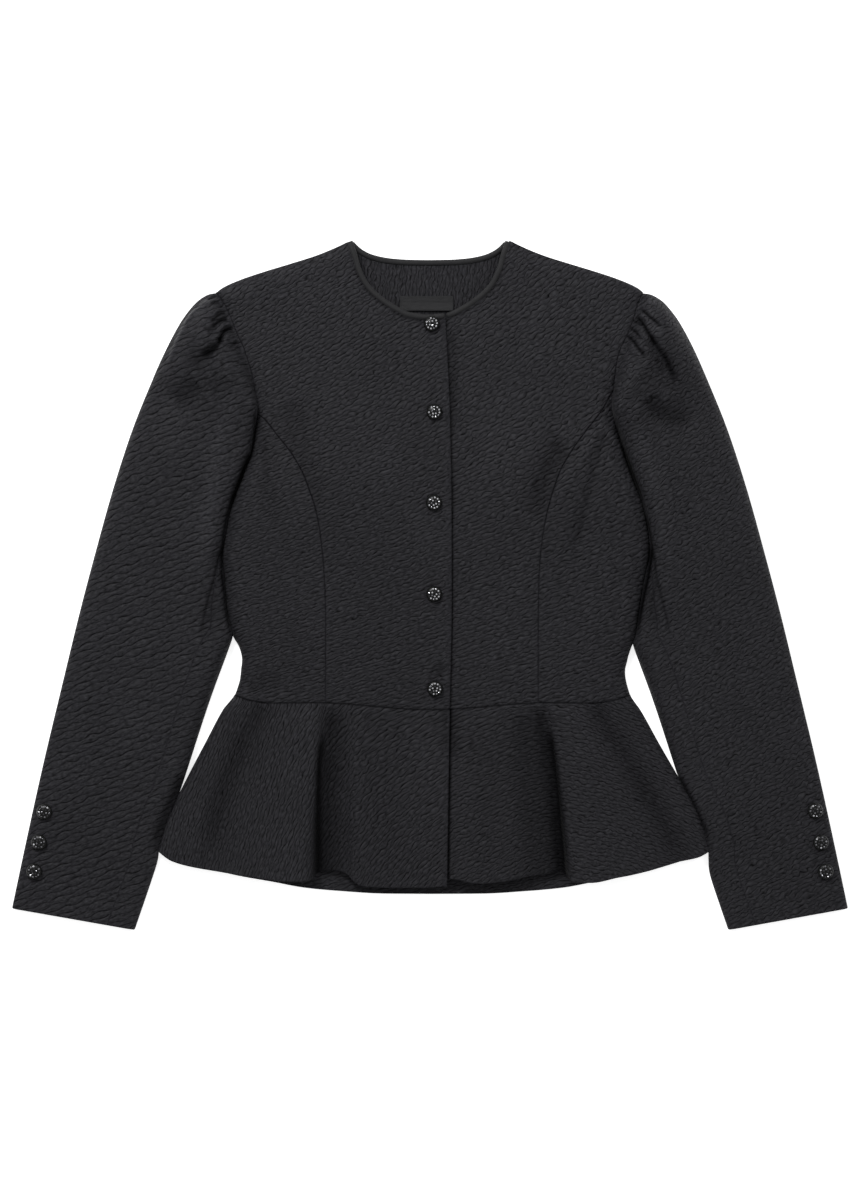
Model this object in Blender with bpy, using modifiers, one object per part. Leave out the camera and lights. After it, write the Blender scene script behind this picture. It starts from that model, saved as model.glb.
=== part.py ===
"""Puff-sleeved peplum cardigan jacket, buttoned to the neck and laid flat on its back.

Sizes are millimetres until a mesh is made. +X is to the right of someone looking down at the jacket, +Y runs
towards its neck and +Z up from the surface it lies on. Right and left in names are the wearer's, so the right
front lies at -X and laps over the left front. Every cloth piece is a wall of one thickness whose outer face
is a smooth surface between the garment's seams.
"""

import math

import bmesh
import bpy
import numpy as np
from mathutils import Vector


def table(columns, *rows):
    """A table of sizes, each named column as an array."""
    return dict(zip(columns.split(), np.array(rows, dtype=float).T))


MM = 0.001
RIGHT, LEFT = -1, 1

# Cloth and seams
CLOTH = 1.8
GAP = 0.3
EDGE_GAP = 0.5
WAIST_GAP = 0.5
PRINCESS_GAP = 0.42
SLEEVE_SEAM_GAP = 0.72
SEAM_HEIGHT = 5.0
TIGHTEST_ROLL = 3.6
WIDEST_ROLL = 30.0

# Outline of the body from the hem's corner to the shoulder point: half its width, where its middle lies, and
# how far the front stands open from the back there (0 at a closed seam, most in the middle of the armhole)
BODY_EDGE = table(
    "y half middle open",
    (-246.0, 257.0, 3.5, 0.00),
    (-212.0, 246.0, 3.5, 0.00),
    (-189.0, 234.4, 3.0, 0.00),
    (-143.0, 209.3, 1.9, 0.00),
    (-115.0, 194.1, 1.6, 0.00),
    (-99.0, 183.0, 2.4, 0.00),
    (-78.0, 178.4, 3.0, 0.00),
    (-68.0, 179.1, 4.5, 0.00),
    (-57.0, 182.0, 5.0, 0.00),
    (-45.0, 187.8, 4.3, 0.00),
    (-22.0, 192.4, 3.0, 0.00),
    (11.0, 196.4, 4.5, 0.00),
    (30.0, 199.2, 5.4, 0.00),
    (52.0, 196.7, 7.0, 0.00),
    (71.0, 193.0, 7.0, 0.00),
    (92.0, 186.3, 6.8, 0.00),
    (121.0, 175.4, 7.5, 0.00),
    (142.0, 170.7, 6.0, 0.00),
    (170.5, 165.8, 4.2, 0.00),
    (196.0, 168.7, 3.3, 0.60),
    (218.0, 174.1, 2.1, 0.85),
    (232.0, 180.5, 2.3, 0.88),
    (246.0, 186.1, 2.3, 0.80),
    (261.0, 191.8, 1.1, 0.50),
    (273.0, 198.6, -0.5, 0.35),
)
WAIST_SIDE_Y = -100.5
HEM_CORNER_Y = BODY_EDGE["y"][0]
UNDERARM_Y = 170.5
SHOULDER_POINT_Y = BODY_EDGE["y"][-1]
WIDEST_OPEN = BODY_EDGE["open"].max()

# Seam between the centre front and the side front
PRINCESS = table(
    "y half middle",
    (-115.0, 98.8, 1.7),
    (-29.0, 98.6, 1.9),
    (11.0, 99.7, 1.6),
    (45.0, 102.7, 1.6),
    (71.0, 107.5, 1.3),
    (92.0, 113.9, 1.4),
    (111.0, 121.0, 1.9),
    (132.0, 133.5, 2.3),
    (150.0, 149.0, 2.5),
    (170.5, 165.8, 4.2),
)
PRINCESS_WAIST_Y = -108.0 + WAIST_GAP / 2
SIDE_FRONT_TOP_Y = 166.0
TOP_EASE = 0.9

# Seams that run across: distance out from the body's middle, and height up the garment
WAIST_MIDDLE = 1.9
WAIST = table(
    "out y",
    (0.0, -114.4),
    (12.0, -114.3),
    (46.0, -112.0),
    (106.0, -108.0),
    (146.0, -108.3),
    (168.0, -106.0),
    (184.0, WAIST_SIDE_Y),
)
SHOULDER = table(
    "out y",
    (71.6, 320.2),
    (84.6, 315.0),
    (106.0, 307.4),
    (129.7, 299.9),
    (153.9, 292.5),
    (175.8, 285.1),
    (192.5, 277.6),
    (198.6, SHOULDER_POINT_Y),
)
SHOULDER_ROLL = 16.0

# Neck opening, and the binding round it
NECK_MIDDLE = -0.9
NECK_FRONT = table(
    "out y",
    (0.0, 252.5),
    (17.2, 254.6),
    (29.5, 260.2),
    (43.8, 269.7),
    (55.6, 281.3),
    (62.9, 295.7),
    (66.3, 306.4),
    (70.3, 318.4),
)
NECK_BACK = table(
    "out y", (0.0, 302.6), (37.0, 303.3), (48.4, 307.0), (58.1, 311.1), (63.2, 314.8), (69.5, 318.6)
)
BAND_WIDTH = 5.3
BAND_THICKNESS = 3.6
BAND_SINK = 0.9
BAND_SIDES = 8
NECK_EASE = 0.6
BACK_BAND_REACH = 0.9
BACK_SHOULDER_OUT = 79.2

# Front fastening: the right front's edge, and how far it laps past the middle
LAP_EDGE = table(
    "y x", (-280.0, 15.8), (-114.0, 18.4), (-15.0, 20.3), (80.0, 20.0), (160.0, 18.6), (250.0, 14.5)
)
LAP_WIDTH = 31.0
LAP_DROP = CLOTH + 0.6
LAP_FADE = 55.0
LAP_CLEARANCE = 0.01

# How high the front stands over the surface along the middle, and the fullness over the bust
CROWN = table(
    "y height",
    (-114.0, 13.5),
    (-85.0, 15.5),
    (-40.0, 18.0),
    (30.0, 21.0),
    (90.0, 22.5),
    (140.0, 21.0),
    (190.0, 18.0),
    (230.0, 15.5),
    (260.0, 13.0),
    (320.0, 9.0),
)
BUST = table("x y rise reach", (-104.0, 78.0, 5.0, 58.0), (107.0, 78.0, 5.0, 58.0))

# Sleeve sections from cuff to armhole: its outer edge, how high up the inner edge the section ends, how high
# it stands, and how far in from the inner edge the under-sleeve seam shows
SLEEVE = table(
    "outer_x outer_y inner_y height seam",
    (388.5, -299.0, -319.1, 11.0, 26.0),
    (374.5, -233.0, -262.0, 12.5, 25.0),
    (359.0, -163.0, -200.0, 14.5, 25.0),
    (342.5, -94.0, -138.0, 16.5, 25.5),
    (325.5, -24.0, -74.0, 18.5, 27.0),
    (310.5, 33.0, -18.0, 20.5, 15.0),
    (294.0, 92.0, 37.0, 22.0, 3.0),
    (276.0, 147.0, 86.0, 23.0, 3.0),
    (259.5, 188.0, 122.0, 24.5, 3.0),
    (243.0, 225.0, 146.0, 31.0, 3.0),
    (228.0, 251.5, 159.0, 36.0, 3.0),
    (215.5, 266.3, 166.0, 31.0, 3.0),
    (206.6, 271.8, 169.0, 24.0, 3.0),
    (200.4, 273.4, 170.3, 16.0, 3.0),
)
SLEEVE_ROWS = len(SLEEVE["outer_x"])
SLEEVE_INNER_MIDDLE = 1.6
SLEEVE_INNER = table(
    "y half",
    (-319.1, 275.7),
    (-254.4, 255.3),
    (-180.0, 232.0),
    (-105.6, 207.9),
    (-49.8, 187.5),
    (170.0, 110.0),
)
ARMHOLE_GAP = 0.3
ARMHOLE_EASE = 1.4
CREVICE = 1.5
CREVICE_SOFTNESS = 6.0
ARMHOLE_BEND_ROWS = 4.0
ARMHOLE_BLEND_ROWS = 1.6

# Gathers in the sleeve heads: share of the armhole down from the shoulder, reach down the sleeve, depth,
# width, and how far the crease leans towards the underarm
GATHERS = {
    RIGHT: table(
        "at reach depth width lean",
        (0.09, 24.0, 2.5, 4.5, 0.00),
        (0.18, 30.0, 3.5, 4.5, 0.00),
        (0.255, 34.0, 3.5, 4.5, 0.00),
        (0.335, 66.0, 6.0, 6.0, 0.02),
        (0.455, 26.0, 2.5, 5.0, 0.00),
    ),
    LEFT: table(
        "at reach depth width lean",
        (0.05, 22.0, 2.5, 4.5, 0.00),
        (0.13, 36.0, 3.5, 4.5, 0.02),
        (0.215, 82.0, 6.0, 6.5, 0.08),
        (0.32, 26.0, 2.5, 4.5, 0.00),
        (0.41, 40.0, 3.5, 5.0, 0.02),
    ),
}
GATHER_START = 8.0

# Soft hollow below each puff
HOLLOW = table("x y depth reach", (-242.0, 171.0, 4.0, 26.0), (232.0, 163.0, 4.0, 26.0))

# Flutes of the front peplums, from the side to the lap or from the lap to the side: where each line leaves
# the waist seam, where it meets the hem, and its height there
FLUTES = {
    RIGHT: table(
        "waist_x hem_x hem_y height",
        (-173.9, -239.9, -255.0, 14.0),
        (-168.3, -222.3, -259.9, 18.0),
        (-156.2, -198.1, -264.4, 14.5),
        (-143.2, -167.4, -269.2, 20.0),
        (-124.6, -136.7, -273.0, 27.0),
        (-109.7, -118.1, -273.4, 29.0),
        (-102.3, -109.7, -271.6, 24.0),
        (-98.6, -105.1, -268.3, 14.0),
        (-95.8, -101.4, -264.6, 8.5),
        (-87.4, -89.3, -263.7, 8.0),
        (-78.1, -78.1, -266.4, 10.5),
        (-72.5, -71.6, -273.0, 15.5),
        (-63.2, -62.3, -278.1, 19.0),
        (-27.9, -27.9, -279.5, 18.5),
        (-4.0, -5.0, -279.3, 18.3),
        (18.4, 15.8, -278.1, 18.0),
    ),
    LEFT: table(
        "waist_x hem_x hem_y height",
        (-12.1, -13.0, -273.0, 13.5),
        (3.0, 2.8, -272.2, 13.7),
        (18.6, 18.6, -271.6, 14.0),
        (43.7, 45.6, -275.7, 16.5),
        (63.2, 67.9, -273.9, 17.0),
        (83.7, 93.9, -268.8, 13.0),
        (97.7, 112.5, -266.0, 9.0),
        (105.1, 121.8, -265.1, 8.0),
        (108.3, 125.1, -266.9, 12.0),
        (110.7, 127.4, -272.0, 21.0),
        (117.2, 133.9, -274.4, 27.0),
        (128.3, 148.8, -274.4, 29.0),
        (143.2, 174.8, -269.7, 24.0),
        (156.2, 201.8, -264.2, 18.0),
        (169.3, 227.9, -256.2, 15.0),
        (180.4, 249.2, -251.6, 13.0),
    ),
}
FLUTE_EDGE_HEIGHT = 12.0
BACK_HEM = table(
    "out y",
    (0.0, -285.8),
    (45.0, -285.5),
    (88.0, -283.0),
    (120.0, -280.0),
    (150.0, -274.5),
    (186.0, -268.0),
    (225.0, -257.0),
    (257.0, HEM_CORNER_Y),
)

# Label, lying on the inside of the back
LABEL_SIZE = (50.0, 14.0, 0.8)
LABEL_PLACE = (-3.0, 263.0)

# Buttons: turned profile from the top of the dome down to the flat back, and their places
BUTTON_PROFILE = table(
    "radius height", (0, 5.2), (3.4, 4.8), (5.9, 3.5), (7.3, 1.6), (6.7, 0.7), (4.4, 0.0), (0, 0.0)
)
BUTTON_SIDES = 14
FRONT_BUTTONS = table("x y", (1.6, 243.6), (4.0, 161.7), (3.7, 77.7), (3.9, -6.8), (4.7, -94.6))
CUFF_BUTTONS = table("out y", (358.9, -208.5), (364.2, -237.2), (368.8, -264.5))

# Finishes: colour and roughness
CLOTH_FINISH = ((0.021, 0.021, 0.023, 1.0), 0.85)
BAND_FINISH = ((0.023, 0.023, 0.025, 1.0), 0.8)
LABEL_FINISH = ((0.030, 0.030, 0.032, 1.0), 0.6)
BUTTON_FINISH = ((0.010, 0.010, 0.011, 1.0), 0.25)


def smooth(knots, values, at):
    """Values between knots on a curve that never overshoots them, held level past both ends."""
    at = np.clip(np.asarray(at, dtype=float), knots[0], knots[-1])
    step = np.diff(knots)
    slope = np.diff(values) / step
    tangent = np.concatenate((slope[:1], np.zeros(len(slope) - 1), slope[-1:]))
    product = slope[:-1] * slope[1:]
    agree = product > 0
    tangent[1:-1][agree] = 2 * product[agree] / (slope[:-1] + slope[1:])[agree]
    left = np.clip(np.searchsorted(knots, at, side="right") - 1, 0, len(step) - 1)
    t = (at - knots[left]) / step[left]
    start = values[left] * (1 + 2 * t) * (1 - t) ** 2 + tangent[left] * step[left] * t * (1 - t) ** 2
    end = values[left + 1] * t * t * (3 - 2 * t) + tangent[left + 1] * step[left] * t * t * (t - 1)
    return start + end


def read(rows, column, by, at):
    """One column of a table, read smoothly at a place given by another column."""
    return smooth(rows[by], rows[column], at)


def ease(t):
    """Smooth step from 0 to 1."""
    t = np.clip(t, 0.0, 1.0)
    return t * t * (3 - 2 * t)


def mix(start, end, share):
    return start + (end - start) * share


def points(x, y):
    x, y = np.broadcast_arrays(x, y)
    return np.stack((x, y), axis=-1)


def roll(distance, reach):
    """Rise of a rolled edge: upright at the edge, level once reach is passed."""
    left = 1 - np.clip(distance / reach, 0.0, 1.0)
    return np.sqrt(np.clip(1 - left * left, 0.0, 1.0))


def roll_reach(rise):
    """How far in an edge rolls, so that it is never tighter than the wall can follow."""
    return np.clip(rise * rise / TIGHTEST_ROLL, 2.0, WIDEST_ROLL)


def edge_x(side, y):
    return read(BODY_EDGE, "middle", "y", y) + side * read(BODY_EDGE, "half", "y", y)


def princess_x(side, y):
    return read(PRINCESS, "middle", "y", y) + side * read(PRINCESS, "half", "y", y)


def waist_y(x):
    return read(WAIST, "y", "out", np.abs(x - WAIST_MIDDLE))


def shoulder_y(x):
    return read(SHOULDER, "y", "out", np.abs(x))


def lap_x(side, y):
    """Front edge of the right front, or the hidden edge of the left front behind it."""
    edge = read(LAP_EDGE, "x", "y", y)
    return edge if side == RIGHT else edge - LAP_WIDTH


def from_side(x, y):
    """Distance in from the body's outline."""
    return read(BODY_EDGE, "half", "y", y) - np.abs(x - read(BODY_EDGE, "middle", "y", y))


def mound(rows, size, x, y):
    """Sum of the soft round mounds that a table lists."""
    total = 0.0 * x
    for middle_x, middle_y, high, reach in zip(rows["x"], rows["y"], rows[size], rows["reach"]):
        total = total + high * np.exp(-((x - middle_x) ** 2 + (y - middle_y) ** 2) / reach**2)
    return total


def crown(x, y):
    """Height of the front where no edge pulls it down."""
    return read(CROWN, "height", "y", y) + mound(BUST, "rise", x, y)


def front_height(x, y):
    """Height of the bodice front's outer face."""
    rise = crown(x, y) - SEAM_HEIGHT
    opened = read(BODY_EDGE, "open", "y", y)
    at_side = opened + (1 - opened) * roll(from_side(x, y), roll_reach(rise))
    at_shoulder = roll(shoulder_y(x) - y, SHOULDER_ROLL)
    return SEAM_HEIGHT + EDGE_GAP / 2 + rise * at_side * at_shoulder


def back_height(x, y):
    """Height of the back's underside: flat on the surface, turned up to the side and shoulder seams."""
    opened = np.clip(read(BODY_EDGE, "open", "y", y) / WIDEST_OPEN, 0.0, 1.0)
    at_side = opened + (1 - opened) * roll(from_side(x, y), SEAM_HEIGHT)
    at_shoulder = roll(shoulder_y(x) - y, SEAM_HEIGHT)
    return (SEAM_HEIGHT - EDGE_GAP / 2) * (1 - at_side * at_shoulder)


def lap_drop(side, x, y):
    """How far the left front is pressed down where the right front lies over it."""
    if side == RIGHT:
        return 0.0 * x
    past = x - lap_x(RIGHT, y) - BAND_WIDTH
    return LAP_DROP * (1 - ease(past / LAP_FADE))


def neck_line(rows, side, share, offset):
    """Point along a neck edge, moved out into the cloth; share runs from the middle (0) to a shoulder (1)."""
    out = np.concatenate((-rows["out"][:0:-1], rows["out"]))
    up = np.concatenate((rows["y"][:0:-1], rows["y"]))
    length = np.concatenate(([0.0], np.cumsum(np.hypot(np.diff(out), np.diff(up)))))
    knots = 2 * length / length[-1] - 1
    nudge = 1e-4
    here = points(smooth(knots, out, share), smooth(knots, up, share))
    ahead = np.clip(share + nudge, -1.0, 1.0)
    behind = np.clip(share - nudge, -1.0, 1.0)
    along_x = smooth(knots, out, ahead) - smooth(knots, out, behind)
    along_y = smooth(knots, up, ahead) - smooth(knots, up, behind)
    outward = points(along_y, -along_x) / np.hypot(along_x, along_y)[..., None]
    moved = here + np.asarray(offset)[..., None] * outward
    return points(NECK_MIDDLE + side * moved[..., 0], moved[..., 1])


def lap_share(side):
    """Share of the front neck seam, past the middle, at which a front's own edge meets it."""
    shares = np.linspace(0.0, 0.5, 501)
    out = neck_line(NECK_FRONT, LEFT, shares, BAND_WIDTH)[:, 0] - NECK_MIDDLE
    return np.interp(abs(lap_x(side, NECK_FRONT["y"][0]) - NECK_MIDDLE), out, shares)


def chain(first, second, turn):
    """One line made of two, the second starting at the share called turn."""

    def line(t):
        before = first(np.clip(t / turn, 0.0, 1.0))
        after = second(np.clip((t - turn) / (1 - turn), 0.0, 1.0))
        return np.where((t <= turn)[..., None], before, after)

    return line


def patch(bottom, top, start, end):
    """Plan of a panel between four lines: s runs from start to end, t from bottom to top."""
    corner = np.array([0.0, 1.0])
    (b0, b1), (t0, t1) = bottom(corner), top(corner)

    def plan(s, t):
        a, b = s[..., None], t[..., None]
        along = (1 - b) * bottom(s) + b * top(s) + (1 - a) * start(t) + a * end(t)
        return along - (1 - a) * (1 - b) * b0 - a * (1 - b) * b1 - (1 - a) * b * t0 - a * b * t1

    return plan


def across(start, end, height_of):
    """Line between two points, taking its height up the garment from a seam but meeting both points."""
    fix_start = start[1] - height_of(start[0])
    fix_end = end[1] - height_of(end[0])

    def line(s):
        x = mix(start[0], end[0], s)
        return points(x, height_of(x) + mix(fix_start, fix_end, s))

    return line


def only(line, t):
    return line(np.array([t]))[0]


def onto_shoulder(line):
    """The same line, eased so that its end lies on the shoulder seam."""
    x, y = only(line, 1.0)
    miss = shoulder_y(x) - y

    def eased(t):
        return line(t) + points(0.0 * t, miss * t**6)

    return eased


def panel_plan(start, end):
    """Plan of a bodice panel from the waist seam to the shoulder seam."""
    bottom = across(only(start, 0.0), only(end, 0.0), lambda x: waist_y(x) + WAIST_GAP / 2)
    top = across(only(start, 1.0), only(end, 1.0), shoulder_y)
    return patch(bottom, top, start, end)


FRONT_NECK_TURN = 0.70
FRONT_UNDERARM_TURN = 0.64


def centre_front(side):
    """Outer face of a centre front; s from its front and neck edge to the princess seam and armhole."""
    begin = -lap_share(side)

    def front_edge(t):
        top = only(lambda share: neck_line(NECK_FRONT, side, share, BAND_WIDTH + GAP), begin)[1]
        low = waist_y(lap_x(side, WAIST["y"][0])) + WAIST_GAP / 2
        y = mix(low, top, t)
        return points(lap_x(side, y), y)

    def neck_edge(t):
        return neck_line(NECK_FRONT, side, mix(begin, 1.0, t), BAND_WIDTH + GAP + NECK_EASE * t**3)

    def princess(t):
        y = mix(PRINCESS_WAIST_Y, UNDERARM_Y, t)
        return points(princess_x(side, y) - side * PRINCESS_GAP / 2, y)

    def armhole(t):
        y = mix(UNDERARM_Y, SHOULDER_POINT_Y, t)
        return points(edge_x(side, y) - side * GAP / 2, y)

    start = chain(front_edge, onto_shoulder(neck_edge), FRONT_NECK_TURN)
    end = chain(princess, onto_shoulder(armhole), FRONT_UNDERARM_TURN)
    plan = panel_plan(start, end)

    def surface(s, t):
        flat = plan(s, t)
        x, y = flat[..., 0], flat[..., 1]
        return np.stack((x, y, front_height(x, y) - lap_drop(side, x, y)), axis=-1)

    return surface


def side_front(side):
    """Outer face of a side front; s from the princess seam to the side seam."""

    def princess(t):
        y = mix(PRINCESS_WAIST_Y, SIDE_FRONT_TOP_Y, t)
        eased = PRINCESS_GAP / 2 + TOP_EASE * t**6
        return points(princess_x(side, y) + side * eased, y)

    def side_seam(t):
        y = mix(WAIST_SIDE_Y + WAIST_GAP / 2, SIDE_FRONT_TOP_Y, t)
        return points(edge_x(side, y), y)

    bottom = across(only(princess, 0.0), only(side_seam, 0.0), lambda x: waist_y(x) + WAIST_GAP / 2)
    top = across(only(princess, 1.0), only(side_seam, 1.0), lambda x: SIDE_FRONT_TOP_Y + 0.0 * x)
    plan = patch(bottom, top, princess, side_seam)

    def surface(s, t):
        flat = plan(s, t)
        x, y = flat[..., 0], flat[..., 1]
        return np.stack((x, y, front_height(x, y)), axis=-1)

    return surface


BACK_NECK_TURN = 0.80
BACK_BAND_TURN = 0.84
BACK_UNDERARM_TURN = 0.68


def back(side):
    """Underside of half the back; s from the centre-back seam and neck to the side seam and armhole."""
    middle_x = NECK_MIDDLE + side * GAP / 2

    def centre_seam(t):
        top = NECK_BACK["y"][0] - BAND_WIDTH - GAP
        y = mix(waist_y(middle_x) + WAIST_GAP / 2, top, t)
        return points(middle_x + 0.0 * y, y)

    def under_band(t):
        line = neck_line(NECK_BACK, side, BACK_BAND_REACH * t, BAND_WIDTH + GAP)
        centred = side * (line[..., 0] - NECK_MIDDLE)
        return points(NECK_MIDDLE + side * np.maximum(centred, GAP / 2), line[..., 1])

    def to_shoulder(t):
        corner_x = NECK_MIDDLE + side * BACK_SHOULDER_OUT
        corner = np.array([corner_x, shoulder_y(corner_x)])
        return mix(only(under_band, 1.0), corner, t[..., None])

    def side_seam(t):
        y = mix(WAIST_SIDE_Y + WAIST_GAP / 2, UNDERARM_Y, t)
        return points(edge_x(side, y), y)

    def armhole(t):
        y = mix(UNDERARM_Y, SHOULDER_POINT_Y, t)
        return points(edge_x(side, y) - side * GAP / 2 * ease(4 * t), y)

    neck_edge = chain(under_band, to_shoulder, BACK_BAND_TURN)
    start = chain(centre_seam, neck_edge, BACK_NECK_TURN)
    end = chain(side_seam, onto_shoulder(armhole), BACK_UNDERARM_TURN)
    plan = panel_plan(start, end)

    def surface(s, t):
        flat = plan(s, t)
        x, y = flat[..., 0], flat[..., 1]
        return np.stack((x, y, back_height(x, y)), axis=-1)

    return surface


def flared(side, waist_x, hem_x, v):
    """Place of a line from waist seam to hem across the peplum, bowed like the side seam near it."""
    seam_waist = edge_x(side, WAIST_SIDE_Y)
    seam_hem = edge_x(side, HEM_CORNER_Y)
    seam_y = mix(waist_y(seam_waist) - WAIST_GAP / 2, HEM_CORNER_Y, v)
    seam_share = (edge_x(side, seam_y) - seam_waist) / (seam_hem - seam_waist)
    outward = ((waist_x - WAIST_MIDDLE) / (seam_waist - WAIST_MIDDLE)) ** 2
    return mix(waist_x, hem_x, v + outward * (seam_share - v))


def flute_rows(side):
    """The flutes' table with the side seam's own line added at the end that it closes."""
    seam = {
        "waist_x": edge_x(side, WAIST_SIDE_Y),
        "hem_x": edge_x(side, HEM_CORNER_Y),
        "hem_y": HEM_CORNER_Y,
        "height": FLUTE_EDGE_HEIGHT,
    }
    join = (lambda own, edge: np.append(edge, own)) if side == RIGHT else np.append
    rows = {column: join(values, seam[column]) for column, values in FLUTES[side].items()}
    steps = np.sqrt(np.diff(rows["hem_x"]) ** 2 + np.diff(rows["hem_y"]) ** 2 + np.diff(rows["height"]) ** 2)
    rows["share"] = np.concatenate(([0.0], np.cumsum(steps))) / steps.sum()
    return rows


def front_peplum(side):
    """Outer face of a front peplum; s across the flutes, t from the waist seam to the hem."""
    rows = flute_rows(side)

    def surface(s, t):
        waist_x = read(rows, "waist_x", "share", s)
        x = flared(side, waist_x, read(rows, "hem_x", "share", s), t)
        y = mix(waist_y(waist_x) - WAIST_GAP / 2, read(rows, "hem_y", "share", s), t)
        level = mix(crown(waist_x, waist_y(waist_x)), read(rows, "height", "share", s), t)
        rise = level - SEAM_HEIGHT
        height = SEAM_HEIGHT + EDGE_GAP / 2 + rise * roll(from_side(x, y), roll_reach(rise))
        return np.stack((x, y, height - lap_drop(side, x, y) * (1 - t)), axis=-1)

    return surface


def back_peplum(s, t):
    """Underside of the back peplum; s from the right side seam to the left, t from the waist to the hem."""
    waist_x = mix(edge_x(RIGHT, WAIST_SIDE_Y), edge_x(LEFT, WAIST_SIDE_Y), s)
    hem_x = mix(edge_x(RIGHT, HEM_CORNER_Y), edge_x(LEFT, HEM_CORNER_Y), s)
    x = np.where(s < 0.5, flared(RIGHT, waist_x, hem_x, t), flared(LEFT, waist_x, hem_x, t))
    hem_middle = read(BODY_EDGE, "middle", "y", HEM_CORNER_Y)
    y = mix(waist_y(waist_x) - WAIST_GAP / 2, read(BACK_HEM, "y", "out", np.abs(hem_x - hem_middle)), t)
    return np.stack((x, y, back_height(x, y)), axis=-1)


def sleeve_inner_x(side, y):
    """Inner edge of the sleeve: its own line, pushed out where the body lies against it."""
    own = read(SLEEVE_INNER, "half", "y", y) + side * SLEEVE_INNER_MIDDLE
    body = side * edge_x(side, y) + CREVICE
    return side * (own + body + np.hypot(own - body, CREVICE_SOFTNESS)) / 2


def sleeve_surface(side):
    """Outer face of a whole sleeve: s from 0 at the outer edge over the top to 1 at the inner edge, and on
    round the underside to 2 at the outer edge again; t from the cuff to the armhole."""
    knots = np.linspace(0.0, 1.0, SLEEVE_ROWS)
    row_share = knots[1]

    def along(column, t):
        return smooth(knots, SLEEVE[column], t)

    def edges(t):
        inner_y = along("inner_y", t)
        outer = points(side * along("outer_x", t), along("outer_y", t))
        return outer, points(sleeve_inner_x(side, inner_y), inner_y)

    def armhole(s):
        y = mix(SHOULDER_POINT_Y, UNDERARM_Y, s)
        return points(edge_x(side, y), y)

    quarter = mix(*edges(knots), 0.25)
    steps = np.hypot(*np.diff(quarter, axis=0).T)
    below_seam = np.concatenate((np.cumsum(steps[::-1])[::-1], [0.0]))

    def gathers(s, t):
        """Depth of the creases that the gathered head falls into."""
        below = np.interp(t, knots, below_seam)
        depth = 0.0 * s
        armhole_length = np.hypot(*(only(armhole, 1.0) - only(armhole, 0.0)))
        for at, reach, deep, width, lean in zip(*GATHERS[side].values()):
            line = at + lean * below / reach
            fade = ease(below / GATHER_START) * (1 - ease(below / reach))
            depth = depth + deep * fade * np.exp(-(((s - line) * armhole_length / width) ** 2))
        return depth

    def surface(s, t):
        over = s <= 1
        place = np.where(over, s, 2 - s)
        outer, inner = edges(t)
        width = np.hypot(*np.moveaxis(inner - outer, -1, 0))
        bend = np.clip(1 - (1 - t) / (ARMHOLE_BEND_ROWS * row_share), 0.0, 1.0)[..., None] ** 2
        seam = armhole(place)
        straight = mix(*edges(1.0), place[..., None])
        beside = ARMHOLE_GAP + ARMHOLE_EASE * (place**8 + (1 - place) ** 8)
        beside_seam = seam + points(side * beside, 0.0)
        flat = mix(outer, inner, place[..., None]) + bend * (beside_seam - straight)
        x, y = flat[..., 0], flat[..., 1]

        dent = mound(HOLLOW, "depth", x, y)
        rise = along("height", t) - SEAM_HEIGHT
        reach = roll_reach(rise)
        edge_roll = roll(place * width, reach) * roll((1 - place) * width, reach)
        top = SEAM_HEIGHT + EDGE_GAP / 2 + (rise - dent - gathers(place, t)) * edge_roll
        turned = roll(place * width, SEAM_HEIGHT) * roll((1 - place) * width, SEAM_HEIGHT)
        under = (SEAM_HEIGHT - EDGE_GAP / 2) * (1 - turned)

        blend = ease(1 - (1 - t) / (ARMHOLE_BLEND_ROWS * row_share))
        seam_x, seam_y = seam[..., 0], seam[..., 1]
        top = mix(top, front_height(seam_x, seam_y), blend)
        under = mix(under, back_height(seam_x, seam_y), blend)
        return np.stack((x, y, np.where(over, top, under)), axis=-1)

    def seam_place(t):
        """Where the under-sleeve seam lies across the top and half its gap, as shares of the width."""
        outer, inner = edges(t)
        width = np.hypot(*np.moveaxis(inner - outer, -1, 0))
        seam = along("seam", t)
        return 1 - seam / width, SLEEVE_SEAM_GAP / 2 / width, width

    return surface, seam_place


def facing(surface, s, t, s_range, t_range):
    """Unit normals of a surface from two short steps along it."""
    nudge = 1e-6
    along_s = surface(np.clip(s + nudge, *s_range), t) - surface(np.clip(s - nudge, *s_range), t)
    along_t = surface(s, np.clip(t + nudge, *t_range)) - surface(s, np.clip(t - nudge, *t_range))
    normal = np.cross(along_s, along_t)
    return normal / np.linalg.norm(normal, axis=-1, keepdims=True)


def new_object(name, mesh, material):
    mesh.materials.append(material)
    thing = bpy.data.objects.new(name, mesh)
    COLLECTION.objects.link(thing)
    return thing


def loft(name, rings, material, closed):
    """Solid through rings of points, in millimetres; closed rings make a tube with flat ends."""
    shape = bmesh.new()
    grid = [[shape.verts.new(Vector(point) * MM) for point in ring] for ring in rings]
    for near, far in zip(grid, grid[1:]):
        pairs = list(zip(near, far))
        if closed:
            pairs.append(pairs[0])
        for (a, b), (c, d) in zip(pairs, pairs[1:]):
            shape.faces.new((a, c, d, b))
    for end in (grid[0], grid[-1]):
        shape.faces.new(end)
    bmesh.ops.recalc_face_normals(shape, faces=shape.faces)
    mesh = bpy.data.meshes.new(name)
    shape.to_mesh(mesh)
    shape.free()
    mesh.shade_smooth()
    mesh.set_sharp_from_angle(angle=math.radians(50))
    return new_object(name, mesh, material)


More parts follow.
